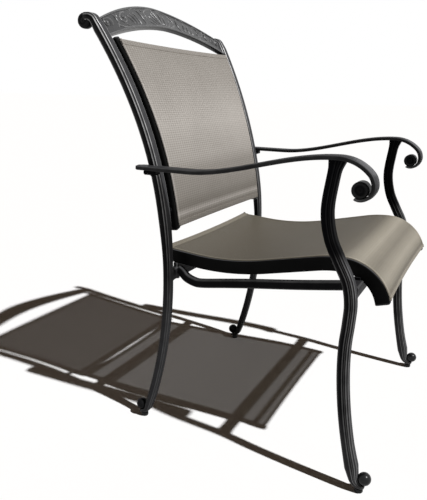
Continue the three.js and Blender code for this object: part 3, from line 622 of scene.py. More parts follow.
def pair(name, bm, material, slot, node=None, ridges=None, angle=38):
    """The left piece and its twin on the right, each standing for its own side's CAD node."""
    if ridges:
        mark_ridges(bm, ridges)
    for side, shape in (("left", bm), ("right", mirrored(bm))):
        piece(f"{side}_{name}", shape, material, slot, node and f"{side}_{node}", angle=angle)


# Posts and legs
def post_point(height):
    post = chair().post
    fall = max(0.0, post.waist - height) / post.waist
    climb = max(0.0, height - post.waist) / post.rise
    spread = max(0.0, height - post.flare_height) / (post.waist + post.rise - post.flare_height)
    x = post.span / 2 + post.flare * spread**2
    y = post.setback + post.kick * fall**2 + post.rake * climb**post.power
    return Vector((x, y, height))


# Height as a share of the leg, and place behind the knee as a share of the swing
LEG_BENDS = (
    (0.044, -0.45), (0.149, -0.256), (0.256, -0.111), (0.363, -0.022), (0.454, 0),
    (0.53, -0.033), (0.591, -0.039), (0.652, 0.056), (0.713, 0.289), (0.774, 0.5),
    (0.851, 0.606), (0.942, 0.544), (1, 0.472),
)


def through(points, steps=5):
    """A smooth line through points in a plane."""
    ends = [points[0], *points, points[-1]]
    made = [
        tuple((2 * b + (c - a) * t + (2 * a - 5 * b + 4 * c - d) * t**2
               + (3 * b - a - 3 * c + d) * t**3) / 2 for a, b, c, d in zip(*ends[i:i + 4]))
        for i in range(len(points) - 1) for t in (k / steps for k in range(steps))
    ]
    return made + [points[-1]]


def leg_profile():
    leg = chair().leg
    knee = chair().post.setback - leg.depth
    return through([(knee + leg.swing * swing, leg.high * high) for high, swing in LEG_BENDS])


def leg_point(height):
    leg, profile = chair().leg, leg_profile()
    above = max(1, next((i for i, p in enumerate(profile) if p[1] >= height), len(profile) - 1))
    (low_y, low_z), (high_y, high_z) = profile[above - 1:above + 1]
    x = blend(leg.span_floor, leg.span_arm, height / leg.high) / 2
    return Vector((x, blend(low_y, high_y, (height - low_z) / (high_z - low_z)), height))


def foot_ball(line, height, side, to_member):
    foot = chair().foot
    centre = line(height)
    centre.y -= to_member * (foot.ball_radius - foot.bite + side / 2)
    return centre


def strap(centre, to_member, tip, side, full):
    """The strap under a foot ball, from its tip up to the member's own line."""
    foot = chair().foot
    spots = []
    for share in evenly(0, 1, 14):
        angle, thick = blend(-foot.tip_angle, math.pi / 2, share), blend(tip, side, share)
        reach = foot.ball_radius - foot.bite + thick / 2
        y = centre.y + to_member * reach * math.sin(angle)
        spots.append(spot(Vector((centre.x, y, centre.z - reach * math.cos(angle))), 1,
                          thick / full))
    return spots


def post_head():
    """The turn at the top of a post, and the middle of its knob."""
    post = chair().post
    shoulder = post.waist + post.rise
    crown = shoulder + post.head_rise
    rise = post_point(shoulder) - post_point(shoulder - post.head_radius)
    heading = math.atan2(rise.z, rise.y)
    start = post_point(crown - post.head_radius * (1 - math.cos(heading)))
    middle = start.y + post.head_radius * math.sin(heading)
    spots = []
    for angle in evenly(heading, 0, 9):
        y = middle - post.head_radius * math.sin(angle)
        z = crown - post.head_radius * (1 - math.cos(angle))
        full = blend(1, post.fullness, 1 - smooth((math.pi / 2 - angle) / 0.6))
        spots.append(spot(Vector((start.x, y, z)), full, full))
    end = middle + post.head_run
    spots.append(spot(Vector((start.x, end, crown))))
    return spots, Vector((start.x, end, crown + post.deep / 2 - post.knob_radius))


def fluted(wide, deep, quirk, groove=()):
    """The section of a cast member: a quirk at each front corner, and a groove in each side. The
    points beside a ridge keep its line of wear and painted highlight narrow."""
    x, y = wide / 2, deep / 2
    half = [(x - 4.6 * MM, -y), (x - 3.2 * MM, -y), (x - quirk, -y + 2.6 * MM), (x, -y + 4 * MM),
            (x, -y + 5.6 * MM)]
    ridges, hollows = [1, 3], [2]
    if groove:
        low, high = groove
        half += [(x, low), (x - 1.5 * MM, (low + high) / 2), (x, high), (x, high + 1.6 * MM)]
        ridges, hollows = [1, 3, 5, 7], [2, 6]
    half.append((x, y))
    last = 2 * len(half) - 1
    softened = [(3.6 * MM, 5, (len(half) - 1, len(half)))]
    for radius, segments, places in ((0.8 * MM, 3, ridges), (0.5 * MM, 2, hollows)):
        softened.append((radius, segments, places + [last - place for place in places]))
    return outline(half + [(-x, y) for x, y in reversed(half)], *softened)


def post_casting():
    """The post, the middle of its knob and that of its foot ball."""
    post, foot = chair().post, chair().foot
    centre = foot_ball(post_point, foot.rear_height, foot.rear_side, -1)
    head, knob = post_head()
    spots = strap(centre, -1, foot.rear_tip, foot.rear_side, post.deep)
    for height in evenly(2 * foot.rear_height, head[0][0].z, chair().steps)[:-1]:
        full = blend(1, post.fullness, smooth((height - 0.38) / 0.12))
        spots.append(spot(post_point(height), full, full))
    line = rounded_ends(stations(spots + head), 1.2 * MM, 0.5, last=False)
    return swept(fluted(post.wide, post.deep, 2.7 * MM), line), knob, centre


def leg_casting():
    """The leg, and the middle of its foot ball."""
    leg, foot = chair().leg, chair().foot
    centre = foot_ball(leg_point, foot.front_height, foot.front_side, 1)
    spots = strap(centre, 1, foot.front_tip, foot.front_side, leg.deep)
    for _, z in leg_profile():
        height = min(z, leg.high - 2.5 * MM)
        near_arm = smooth(max(0.0, height - (leg.high - leg.gusset)) / leg.gusset) ** 1.5
        near_foot = max(0.0, 1 - (height - foot.front_height) / leg.foot_flare)
        deep = 1 + (leg.gusset_depth - 1) * near_arm + (leg.foot_depth - 1) * near_foot
        if z >= 1.5 * foot.front_height and height > spots[-1][0].z + 0.1 * MM:
            spots.append(spot(leg_point(height), 1, deep))
    section = fluted(leg.wide, leg.deep, 2.5 * MM, (-3.4 * MM, 0.6 * MM))
    return swept(section, rounded_ends(stations(spots), 1.2 * MM, 0.5, last=False)), centre


# Ends of turned pieces: share of the radius, and millimetres in from the end
VOLUTE_END = ((0, 0), (0.2, 0.2), (0.3, 0.9), (0.42, 1.7), (0.5, 1.3), (0.62, 0.7), (0.76, 1.2),
              (0.9, 3.2), (0.975, 6))
BARREL_END = ((0, 2.6), (0.22, 2.7), (0.34, 3.2), (0.5, 2.6), (0.66, 0.7), (0.78, 0.1),
              (0.9, 0.7), (0.97, 2), (1, 4), (1, 9))
CURL_FRONT = ((0, -1.2), (0.2, -1), (0.34, 0.8), (0.46, 1.6), (0.58, 0.6), (0.76, -0.2),
              (0.92, 0.8), (1, 2.6))
CURL_REAR = ((0, 0.4), (0.92, 0.8), (1, 2.6))


def volute(centre):
    """A knob whose flat ends carry a raised ring and a button, like the end of a scroll."""
    radius = chair().post.knob_radius
    end = end_profile(VOLUTE_END, radius, chair().post.knob_long / 2)
    return turned([*end, (radius, 0), *other_end(end)], sideways(centre))


def foot_knob(centre):
    """A foot ball with the small button that the casting leaves at each side."""
    radius = chair().foot.ball_radius
    end = [(0, radius - 0.25 * MM), (radius * 0.12, radius - 0.3 * MM)]
    end += [(radius * math.sin(a), radius * math.cos(a))
            for a in evenly(math.radians(11), math.pi / 2, 10)]
    return turned(end + other_end(end[:-1]), sideways(centre), 36)


def foot_glide(centre, shift):
    foot = chair().foot
    wide, high = foot.glide_radius, foot.glide_high
    profile = [
        (0, 0.4 * MM), (wide * 0.55, 0.3 * MM), (wide - 1.6 * MM, 0), (wide - 0.5 * MM, 0.5 * MM),
        (wide, 1.6 * MM), (wide, high - 1.4 * MM), (wide - 0.6 * MM, high - 0.3 * MM),
        (wide - 1.5 * MM, high), (2.6 * MM, high), (2.5 * MM, high + 4 * MM), (0, high + 4 * MM),
    ]
    return turned(profile, Matrix.Translation((centre.x, centre.y + shift, 0)), 24)


# Arms
# Arcs of the scroll: share of its radius, turn in degrees, steps, and share of the arm's
# thickness at the arc's end
SCROLL = ((1, 45, 10, 1), (0.424, 45, 10, 1), (0.297, 90, 18, 0.53), (0.225, 30, 8, 0.4))
TAIL_ROUND = 13 * MM


def side_run(y, z, heading, legs):
    """Points along straights and arcs in the side view, each a run, a turn and steps."""
    points = [(y, z, heading)]
    for run, turning, steps in legs:
        step = math.radians(turning) / steps
        half = abs(step / 2)
        chord = run / steps * (math.sin(half) / half if half else 1)
        for _ in range(steps):
            y -= chord * math.cos(heading + step / 2)
            z += chord * math.sin(heading + step / 2)
            heading += step
            points.append((y, z, heading))
    return points


def arm_ends():
    """Where the arm starts behind its post, and where it meets the top of the leg."""
    arm, leg = chair().arm, chair().leg
    return post_point(arm.high).y + arm.tail, leg_point(leg.high - 0.3 * MM)


def arm_bend():
    """The arm's side view: tail, level run, rise over the leg, and scroll."""
    arm = chair().arm
    tail, crown = arm_ends()
    bend = tail - arm.level
    points = [(y, arm.high, 1.0) for y in evenly(tail, bend, 14)[:-1]]
    points += [(blend(bend, crown.y, share), arm.high + arm.rise * smooth(share), 1.0)
               for share in evenly(0, 1, 30)]
    legs = [(arm.scroll * share * math.radians(turning), -turning, steps)
            for share, turning, steps, _ in SCROLL]
    scroll = side_run(crown.y, arm.high + arm.rise, 0, legs)
    deeps = [1.0]
    for *_, steps, share in SCROLL:
        deeps += evenly(deeps[-1], share, steps)[1:]
    points += [(y, z, deep) for (y, z, _), deep in zip(scroll[1:], deeps[1:])]
    return points, scroll


def arm_point(y, z):
    arm, post = chair().arm, chair().post
    tail, crown = arm_ends()
    rear = post_point(arm.high).x + post.wide / 2 + arm.outset - arm.wide / 2
    share = min(1.0, (tail - y) / (tail - crown.y))
    return Vector((blend(rear, crown.x - arm.inset, share), y, z))


def arm_section():
    """Flat below, and crowned above between a reed along each edge."""
    arm = chair().arm
    half, low, edge = arm.wide / 2, -arm.deep / 2, arm.deep / 2 - arm.crown
    points = [(half - 4 * MM, low), (half - 1 * MM, low + 0.7 * MM), (half, low + 2.2 * MM)]
    points += [(half - inward * MM, edge + rise * MM)
               for inward, rise in ((0, 0.5), (1.6, 1.5), (3.4, 1.1), (4.2, 0.9))]
    points += [(half * share, edge + arm.crown * (1 - share**2)) for share in evenly(0.74, 0.1, 5)]
    return outline(points + [(-x, y) for x, y in reversed(points)])


def arm_casting():
    """The arm, and the middle and radius of the barrel in its scroll."""
    arm = chair().arm
    tail, _ = arm_ends()
    points, scroll = arm_bend()
    points += [(tail - back * TAIL_ROUND, arm.high, 1.0)
               for back in (0.04, 0.12, 0.25, 0.42, 0.65)]
    middle = tail - 0.5 * arm.level
    rear = sorted((p for p in points if p[0] > middle), key=lambda p: -p[0])
    spots = []
    for y, z, deep in rear + [p for p in points if p[0] <= middle]:
        back = min(1.0, (tail - y) / TAIL_ROUND)
        wide = 0.5 + 0.5 * math.sqrt(max(0.0, 1 - (1 - back) ** 2))
        spots.append(spot(arm_point(y, z), wide, deep))
    casting = swept(arm_section(), rounded_ends(stations(spots), 0.8 * MM, 0.35))
    y, z, heading = scroll[-1 - SCROLL[-1][2]]
    away = arm.scroll * SCROLL[-1][0]
    centre = arm_point(y - away * math.sin(heading), z - away * math.cos(heading))
    return casting, centre, away - SCROLL[-2][3] * arm.deep / 2 - 0.4 * MM


def arm_barrel(centre, radius):
    """The barrel that the scroll ends on, with a dished face at each end."""
    end = end_profile(BARREL_END, radius, chair().arm.barrel / 2)
    return turned(end + other_end(end), sideways(centre), 40)


def arm_lug():
    """The lug under the arm, on the outer face of the post, with its nut."""
    low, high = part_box("left_arm_rear_bracket")
    middle, size = (low + high) / 2, high - low
    line = [station(Vector((x, middle.y, middle.z)), ACROSS, across=REARWARD)
            for x in (low.x, high.x)]
    lug = swept(soft_box(size.y, size.z, 4 * MM), rounded_ends(line, 1.6 * MM, 0.3, first=False))
    profile = [(0, 0), (5.2 * 0.86 * MM, 0), (5.2 * MM, 0.7 * MM), (5.2 * MM, 4.4 * MM),
               (0, 4.4 * MM)]
    nut = Matrix.Translation((middle.x, middle.y - 3 * MM, low.z - 2.6 * MM))
    return joined(lug, turned(profile, nut, 6))


# Crest rail
def crest_edge(share, rise, fall, power):
    post, crest = chair().post, chair().crest
    shoulder = post_point(post.waist + post.rise)
    climb = rise - fall * abs(share) ** power
    part = climb / crest.rise
    y = shoulder.y + crest.lean * part + crest.curl * part**2
    return Vector((shoulder.x * share, y, shoulder.z + climb))


def crest_place(share):
    """The section's place: X to the rear of the crest, Y up it."""
    crest = chair().crest
    under = crest_edge(share, crest.under_rise, crest.under_fall, crest.under_power)
    over = crest_edge(share, crest.rise, crest.fall, crest.power)
    up = (over - under).normalized()
    across = up.cross(ACROSS)
    tall = (over - under).length / (crest.rise - crest.under_rise)
    place = Matrix((across, up * tall, across.cross(up))).transposed().to_4x4()
    place.translation = (under + over) / 2
    return place


def crest_point(share, high_share, lift=0.0):
    """A point on the panel, or that far in front of it."""
    crest = chair().crest
    high = (high_share - 0.5) * (crest.rise - crest.under_rise)
    return crest_place(share) @ Vector((-(crest.thick / 2 - crest.panel) - lift, high, 0))


# Reliefs of one half of the crest: places along it and up it as shares, then the half width and
# the height of the rib in millimetres
CREST_RIBS = (
    ((0.012, 0.16), (0.020, 0.50), (0.050, 0.84), 2.6, 2.6),
    ((0.040, 0.14), (0.075, 0.40), (0.100, 0.70), 2.4, 2.4),
    ((0.070, 0.12), (0.125, 0.28), (0.155, 0.54), 2.2, 2.0),
    ((0.10, 0.11), (0.16, 0.16), (0.215, 0.36), 2.0, 1.8),
    ((0.02, 0.90), (0.12, 0.94), (0.20, 0.74), 1.8, 1.6),
    ((0.20, 0.74), (0.235, 0.60), (0.215, 0.44), 1.6, 1.6),
    ((0.300, 0.09), (0.245, 0.52), (0.345, 0.92), 3.2, 3.2),
    ((0.345, 0.92), (0.40, 0.98), (0.445, 0.84), 2.2, 2.4),
    ((0.375, 0.16), (0.365, 0.46), (0.415, 0.74), 2.8, 2.8),
    ((0.425, 0.18), (0.425, 0.46), (0.475, 0.72), 2.6, 2.6),
    ((0.480, 0.20), (0.485, 0.44), (0.530, 0.64), 2.3, 2.3),
    ((0.545, 0.82), (0.640, 0.90), (0.660, 0.62), 2.0, 2.2),
    ((0.660, 0.62), (0.660, 0.36), (0.600, 0.38), 1.9, 2.0),
    ((0.600, 0.38), (0.560, 0.44), (0.580, 0.60), 1.7, 1.8),
    ((0.535, 0.06), (0.575, 0.10), (0.610, 0.30), 1.8, 2.0),
    ((0.310, 0.08), (0.470, 0.05), (0.640, 0.16), 1.7, 1.6),
    ((0.640, 0.16), (0.720, 0.22), (0.750, 0.40), 1.7, 1.7),
    ((0.755, 0.24), (0.685, 0.58), (0.765, 0.94), 2.8, 3.0),
    ((0.700, 0.70), (0.690, 0.84), (0.720, 0.95), 1.6, 1.6),
)
CREST_BOSSES = ((0.605, 0.62, 4.6, 2.6), (0.845, 0.62, 13.0, 3.0), (0.235, 0.80, 3.2, 1.8))


def crest_rib(start, bend, end, half, high, side):
    """A half-round rib on the panel, drawn out to a point at both ends."""
    bm = bmesh.new()
    bmesh.ops.create_circle(bm, cap_ends=True, segments=10, radius=1)
    shares = evenly(0, 1, 14)
    points = []
    for t in shares:
        along, above = ((1 - t) ** 2 * a + 2 * t * (1 - t) * b + t * t * c
                        for a, b, c in zip(start, bend, end))
        points.append(crest_point(side * along, above))
    outward = -crest_place(0).col[0].to_3d()
    line = []
    for t, at, run in zip(shares, points, runs(points)):
        full = max(0.16, math.sin(math.pi * (0.04 + 0.92 * t)) ** 0.7) * MM
        line.append(station(at, run, 1.3 * half * full, 0.75 * high * full,
                            across=run.cross(outward)))
    return swept(bm, line)


def crest_boss(share, high_share, radius, high, side):
    """A smooth oval swelling on the panel."""
    bm = bmesh.new()
    bmesh.ops.create_uvsphere(bm, u_segments=24, v_segments=14, radius=1)
    place = crest_place(side * share)
    tall = place.col[1].to_3d().length
    place.normalize()
    place.translation = crest_point(side * share, high_share)
    sizes = Matrix.Diagonal((high * MM, radius * tall * 0.82 * MM, radius * MM, 1))
    bmesh.ops.transform(bm, matrix=place @ sizes, verts=bm.verts[:])
    return bm


def crest_curl(side):
    """The round curl at each end of the crest, against the post."""
    radius, half = 10.5 * MM, chair().crest.thick / 2
    profile = end_profile(CURL_FRONT, radius, half)
    profile += other_end(end_profile(CURL_REAR, radius, half))
    share = side * 0.905
    place = crest_place(share).normalized()
    place.translation = crest_point(share, 0.66, chair().crest.panel - half)
    return turned(profile, place @ Matrix.Rotation(-math.pi / 2, 4, "Y"), 28)


def crest_casting():
    crest, post = chair().crest, chair().post
    half, high = crest.thick / 2, (crest.rise - crest.under_rise) / 2
    rim, panel, slope = high - crest.rim, crest.panel - half, 1.2 * MM
    corners = [(half, -high), (half, high), (-half, high), (-half, rim), (panel, rim - slope),
               (panel, slope - rim), (-half, -rim), (-half, -high)]
    section = outline(corners, (1.8 * MM, 4, (0, 1, 2, 7)), (0.9 * MM, 3, (3, 6)))
    end = 1 - (post.wide / 2 - 2 * MM) / post_point(post.waist + post.rise).x
    shapes = [swept(section, [crest_place(share) for share in evenly(-end, end, 64)])]
    for side in (-1, 1):
        shapes += [crest_rib(*rib, side) for rib in CREST_RIBS]
        shapes += [crest_boss(*boss, side) for boss in CREST_BOSSES]
        shapes.append(crest_curl(side))
    return joined(*shapes)


# Bars
# Place along a side bar from the front, and drop as a share of the lowest point's
SIDE_BAR_DROPS = (
    (0, 0), (0.283, 0.354), (0.555, 0.655), (0.702, 0.832), (0.838, 1), (0.886, 0.99),
    (0.933, 0.867), (0.969, 0.63), (1, 0.545),
)


def cross_bar(y, base, high, deep, half_long):
    """A bar across the chair that widens a little where it meets the castings."""
    line = []
    for x in (-1, -0.985, -0.97, -0.955, 0.955, 0.97, 0.985, 1):
        swell = 1 + 0.1 * smooth((abs(x) - 0.955) / 0.03)
        at = Vector((x * half_long, y, base + high / 2))
        line.append(station(at, ACROSS, swell, swell, across=REARWARD))
    return swept(soft_box(deep, high, 3.5 * MM, 5), line)


def bar_post(side, y, base):
    """A post on the rear bar, which carries a seat rail."""
    over = seat_rail_over(y)
    foot = Vector((side * over.x, y, base))
    top = Vector((foot.x, foot.y, over.z - chair().rail.seat_deep / 2 - 0.1 * MM))
    line = [station(at, UPWARD) for at in (foot, foot + UPWARD * 4 * MM, top)]
    line[0] = line[0] @ Matrix.Diagonal((1.25, 1.2, 1, 1))
    return swept(soft_box(24 * MM, 10 * MM, 2.5 * MM), line)


# Rails
COVERS_TOP, COVERS_FRONT = 1, -1
# Straights and arcs of the seat rails: share of the flat run, turn in degrees, and steps
SEAT_RUNS = ((0.179, 0, 5), (0.407, 17.4, 14), (0.282, 0, 8), (0.132, -12.7, 8))
# A plug from its rail outwards: share of its length, and of its section
PLUG_ROUND = ((0, 1), (0.3, 1), (0.5, 0.985), (0.68, 0.94), (0.82, 0.87), (0.93, 0.77), (1, 0.66))


def slot_inset(covered):
    rail = chair().rail
    return rail.back_slot if covered == COVERS_FRONT else rail.seat_slot


def rail_section(deep, covered):
    """An extrusion with a slot in the face that the cloth covers, opening into a round pocket."""
    rail = chair().rail
    half, side, gap = rail.wide / 2, deep / 2, 1.05 * MM
    slot_at = covered * (half - slot_inset(covered))
    round_pocket = rail.spline + 0.3 * MM
    lip = math.asin(gap / round_pocket)
    ring = [(rail.pocket - side + round_pocket * math.cos(a), slot_at + round_pocket * math.sin(a))
            for a in evenly(math.pi - lip, lip - math.pi, 14)]
    corners = [(-side, -half), (side, -half), (side, half), (-side, half)]
    corners += [(-side, slot_at + gap), *ring, (-side, slot_at - gap)]
    faced = [(covered * across, -covered * down) for down, across in corners]
    return outline(faced, (rail.corner, 5, range(4)), (0.35 * MM, 2, (4, len(corners) - 1)))


def back_rail_point(height):
    rail, post = chair().rail, chair().post
    share = max(0.0, height - rail.back_low) / (rail.back_high - rail.back_low)
    spacer = blend(rail.spacer_low, rail.spacer_high, math.sqrt(share))
    at = post_point(height)
    return Vector((at.x - (post.wide + rail.wide) / 2 - spacer, at.y - rail.back_forward, height))


def back_rail_line():
    rail, sling = chair().rail, chair().sling
    heights = evenly(rail.back_low + sling.low_setback, rail.back_high - sling.setback, 44)
    return stations([spot(back_rail_point(h)) for h in (rail.back_low, *heights, rail.back_high)])


def seat_rail_line():
    rail, post, leg = chair().rail, chair().post, chair().leg
    setback = chair().sling.setback
    flat = leg.depth + rail.seat_overhang - rail.nose_setback
    legs = [(setback, 0, 1), *((flat * share, *arc) for share, *arc in SEAT_RUNS),
            (rail.nose_run, -74, 26), (setback, 0, 1)]
    start = rail.seat_overhang + post.setback
    points = side_run(start, rail.seat_high, math.radians(-4.7), legs)
    rear = post.span / 2 - rail.seat_rear_inset
    front = leg_point(rail.seat_high).x - rail.seat_front_inset
    long = start - points[-1][0]
    return stations([spot(Vector((blend(rear, front, (start - y) / long), y, z)))
                     for y, z, _ in points])


def seat_rail_over(y):
    line = [place.translation for place in seat_rail_line()]
    for rear, front in zip(line, line[1:]):
        if front.y <= y:
            return rear.lerp(front, (rear.y - y) / (rear.y - front.y))
    return line[-1]


def rail_plug(place, outward, deep):
    """A moulded plug with a rounded end."""
    rail = chair().rail
    line = []
    for away, share in PLUG_ROUND:
        end = moved(place, outward * (0.2 * MM + rail.cap * away))
        drawn_in = 2 * (1 - share) * rail.wide * 0.42
        line.append(end @ Matrix.Diagonal((1 - drawn_in / rail.wide, 1 - drawn_in / deep, 1, 1)))
    return swept(soft_box(rail.wide, deep, rail.corner, 5), line)


# Slings
# Where the cloth turns out of its slot, in millimetres: out from the slot, and up from the
# rail's face
CLOTH_TURN = (
    (0, -2.3), (0, -0.6), (0.35, 0.5), (0.75, 1.3), (0.5, 2.2), (-0.5, 2.7), (-1.8, 2.6),
    (-3.2, 2.0), (-4.6, 1.4), (-6.2, 1.05),
)
# Tone of each sling: shares along it from its lower or rear end, and how pale it is painted
# there. The tone is painted light and shade: the back's broad pale band and the highlight above
# its lower hem, the seat kept far darker than the back, and the bright bands over its nose. Then
# the tone of its first and last hems, how strongly its yarns are grouped, and the share of the
# lamp's light that passes each face.
BACK_WEAVE_AND_PAINTED_LIGHT = (
    ((0.0, 0.2), (0.035, 0.25), (0.045, 0.36), (0.058, 0.6), (0.072, 0.4), (0.086, 0.22),
     (0.11, 0.26), (0.14, 0.33), (0.2, 0.38), (0.28, 0.41), (0.35, 0.61), (0.42, 0.65),
     (0.54, 0.73), (0.66, 0.63), (0.8, 0.51), (1.0, 0.43)),
    (0.25, 0.44), 1, 0.17,
)
SEAT_WEAVE_AND_PAINTED_LIGHT = (
    ((0.0, 0.1), (0.06, 0.08), (0.2, 0.05), (0.45, 0.03), (0.64, 0.03), (0.69, 0.04),
     (0.74, 0.07), (0.78, 0.16), (0.815, 0.46), (0.845, 0.6), (0.865, 0.4), (0.895, 0.26),
     (0.92, 0.4), (0.943, 0.51), (0.965, 0.36), (0.983, 0.14), (0.996, 0.3)),
    (0.26, 0.36), 0.3, 0.25,
)


def cloth_across(deep, covered, slot_x, reach, turn_from=0):
    """The cloth's section from one side to the other: places across it, and heights."""
    rail, sling = chair().rail, chair().sling
    level = deep / 2 + sling.gap + sling.thick / 2
    flat = 1 - max(rail.wide - slot_inset(covered), 7.5 * MM) / reach
    turned_out = [(1 + out * MM / reach, deep / 2 + up * MM) for out, up in CLOTH_TURN[turn_from:]]
    middle = [(share, level - sling.sag * (1 - (share / flat) ** 2))
              for share in evenly(-flat, flat, 28)]
    spread = [(-share, high) for share, high in turned_out] + middle + turned_out[::-1]
    return [(share * slot_x, high) for share, high in spread]


def lay_weave(bm, place_of):
    """Writes where each corner of a cloth's faces lies across and along the weave."""
    uv = bm.loops.layers.uv.new("cloth")
    for face in bm.faces:
        for loop in face.loops:
            loop[uv].uv = (loop.vert.co.x, place_of(loop.vert))


def sling_sheet(line, deep, covered):
    """Cloth that comes out of the slots of two rails and covers their faces."""
    places = []
    inset = chair().rail.wide / 2 - slot_inset(covered)
    for place in line[1:-1]:
        slot = place @ Vector((inset, 0, 0))
        along = Matrix((ACROSS * slot.x, place.col[1].to_3d() * covered, place.col[2].to_3d()))
        along = along.transposed().to_4x4()
        along.translation = (0, slot.y, slot.z)
        places.append(along)
    reach = line[len(line) // 2].translation.x + inset
    bm = bmesh.new()
    travel = bm.verts.layers.float.new("travel")
    edge = bm.verts.layers.float.new("edge")
    verts = [bm.verts.new((*point, 0)) for point in cloth_across(deep, covered, 1, reach)]
    # The cloth beside each slot is marked to be painted paler: a painted highlight.
    for vert in verts[2:7] + verts[-7:-2]:
        vert[edge] = 1
    edges = [bm.edges.new(two) for two in zip(verts, verts[1:])]
    bmesh.ops.transform(bm, matrix=places[0], verts=verts)
    wides = [sum(edge.calc_length() for edge in edges)]
    ran = 0.0
    for before, here in zip(places, places[1:]):
        made = bmesh.ops.extrude_edge_only(bm, edges=edges)["geom"]
        edges = [g for g in made if isinstance(g, bmesh.types.BMEdge)]
        verts = [g for g in made if isinstance(g, bmesh.types.BMVert)]
        bmesh.ops.transform(bm, matrix=here @ before.inverted(), verts=verts)
        ran += (here.translation - before.translation).length
        wides.append(sum(edge.calc_length() for edge in edges))
        for vert in verts:
            vert[travel] = ran
    bmesh.ops.recalc_face_normals(bm, faces=bm.faces[:])
    area = sum(face.calc_area() for face in bm.faces)
    lay_weave(bm, lambda vert: vert[travel])
    return bm, places, reach, (max(wides), ran), area


def flat_hem(hem):
    """A turned hem in section: X out past the cloth's end, Y up from the middle of the cloth."""
    over, under = 1.5 * MM, -0.6 * MM
    corners = [(-hem, under), (1.6 * MM, under), (1.6 * MM, over), (-hem + 1.2 * MM, over),
               (-hem, 0.4 * MM)]
    return outline(corners, (0.95 * MM, 4, (1, 2)), (0.4 * MM, 2, (3,)))


def rolled_hem(hem, radius):
    """A hem rolled over a rod, with its flap sewn down on the cloth."""
    x, y = 0.2 * radius, radius - 0.6 * MM
    corners = [(-hem, -0.5 * MM), (x, -0.6 * MM)]
    corners += [(x + radius * math.sin(a), y - radius * math.cos(a))
                for a in evenly(math.radians(18), math.radians(232), 12)]
    corners += [(-0.95 * radius, 3.2 * MM), (-1.25 * radius, 2.1 * MM),
                (-hem + 0.8 * MM, 1.8 * MM), (-hem, 1.2 * MM)]
    return outline(corners)


def hem_strip(section, end, way, deep, covered, reach, start):
    """Carries a hem's section across the cloth at one end of it."""
    outward = end.col[2].to_3d().normalized() * way
    up = end.col[1].to_3d().normalized()
    points = [end.translation + ACROSS * x + up * high
              for x, high in cloth_across(deep, covered, end.col[0].length, reach, 4)]
    if ACROSS.cross(outward).dot(up) < 0:
        points.reverse()
    line = [station(at, run, across=outward) for at, run in zip(points, runs(points))]
    bm = swept(section, rounded_ends(line, 0.7 * MM, 0.4))

    def place_of(vert):
        away = vert.co - end.translation
        return start + way * away.dot(outward) - away.dot(up)

    lay_weave(bm, place_of)
    return bm


def hang_sling(name, line, deep, covered, pale, weave, hems):
    """A sling of woven cloth between its two rails, with its hems."""
    painted_tones, hem_painted_tones, grouped, passed = weave
    bm, places, reach, flat, area = sling_sheet(line, deep, covered)
    long = flat[1]
    cloth = woven_cloth(f"{name}_cloth", long, painted_tones, pale, (hems[0][1], long - hems[1][1]),
                        passed, grouped)
    sheet = piece(f"{name}_cloth_sling", bm, cloth, "sling", f"{name}_sling", angle=80)
    ply = sheet.modifiers.new("cloth", "SOLIDIFY")
    ply.thickness = chair().sling.thick
    ply.offset = 0
    # Each hem is a copy of the cloth with a tone of its own, painted lighter or darker for its
    # light and shade.
    for end, (section, _), tone, place, way, start in zip(
        ("first", "last"), hems, hem_painted_tones, (places[0], places[-1]), (-1, 1), (0.0, long),
    ):
        strip = hem_strip(section, place, way, deep, covered, reach, start)
        edging = woven_cloth(f"{name}_{end}_hem_cloth", long, ((0, tone), (1, tone)), pale)
        piece(f"{name}_{end}_hem", strip, edging, "sling", angle=80)


# Tools of the sidebar, one for each group of pieces
class PATIO_OT_stage(bpy.types.Operator):
    """Lay the pale floor, and set the lamp, the light all round and the camera"""

    bl_idname = "patio.stage"
    bl_label = "Stage"

    def execute(self, context):
        stage, scene = chair().stage, context.scene
        bm = bmesh.new()
        bmesh.ops.create_grid(bm, x_segments=2, y_segments=2, size=60)
        mesh = bpy.data.meshes.new("floor")
        bm.to_mesh(mesh)
        bm.free()
        mesh.materials.append(Paint("pale_floor").feed(
            Base_Color=(0.99, 0.99, 0.99, 1), Roughness=1.0, Specular_IOR_Level=0))
        floor = bpy.data.objects.new("floor", mesh)

        sky = Paint("studio", "worlds", "Background")
        straight, glossy, passing = (sky.node("ShaderNodeLightPath", output=f"Is {ray} Ray")
                                     for ray in ("Camera", "Glossy", "Transmission"))
        seen = straight.most(glossy).most(passing)
        scene.world = sky.feed(Color=sky.mixed(seen, stage.warmth, (1, 1, 1, 1)),
                               Strength=seen.spread(0, 1, stage.sky, 1))

        lamp = bpy.data.lights.new("lamp", "SUN")
        lamp.energy, lamp.angle = stage.sun, stage.soft
        sun = bpy.data.objects.new("lamp", lamp)
        sun.rotation_euler = Vector((0.14, 0.69, -1)).to_track_quat("-Z", "Y").to_euler()

        lens = bpy.data.cameras.new("camera")
        lens.lens, lens.sensor_width, lens.clip_end = stage.lens, 36, 200
        camera = bpy.data.objects.new("camera", lens)
        camera.matrix_world = (
            Matrix.Translation(stage.camera)
            @ Matrix.Rotation(stage.heading, 4, "Z")
            @ Matrix.Rotation(math.pi / 2 + stage.pitch, 4, "X")
            @ Matrix.Rotation(stage.roll, 4, "Z")
        )
        for made in (floor, sun, camera):
            scene.collection.objects.link(made)
        scene.camera = camera
        scene.view_settings.view_transform = "Standard"
        return {"FINISHED"}


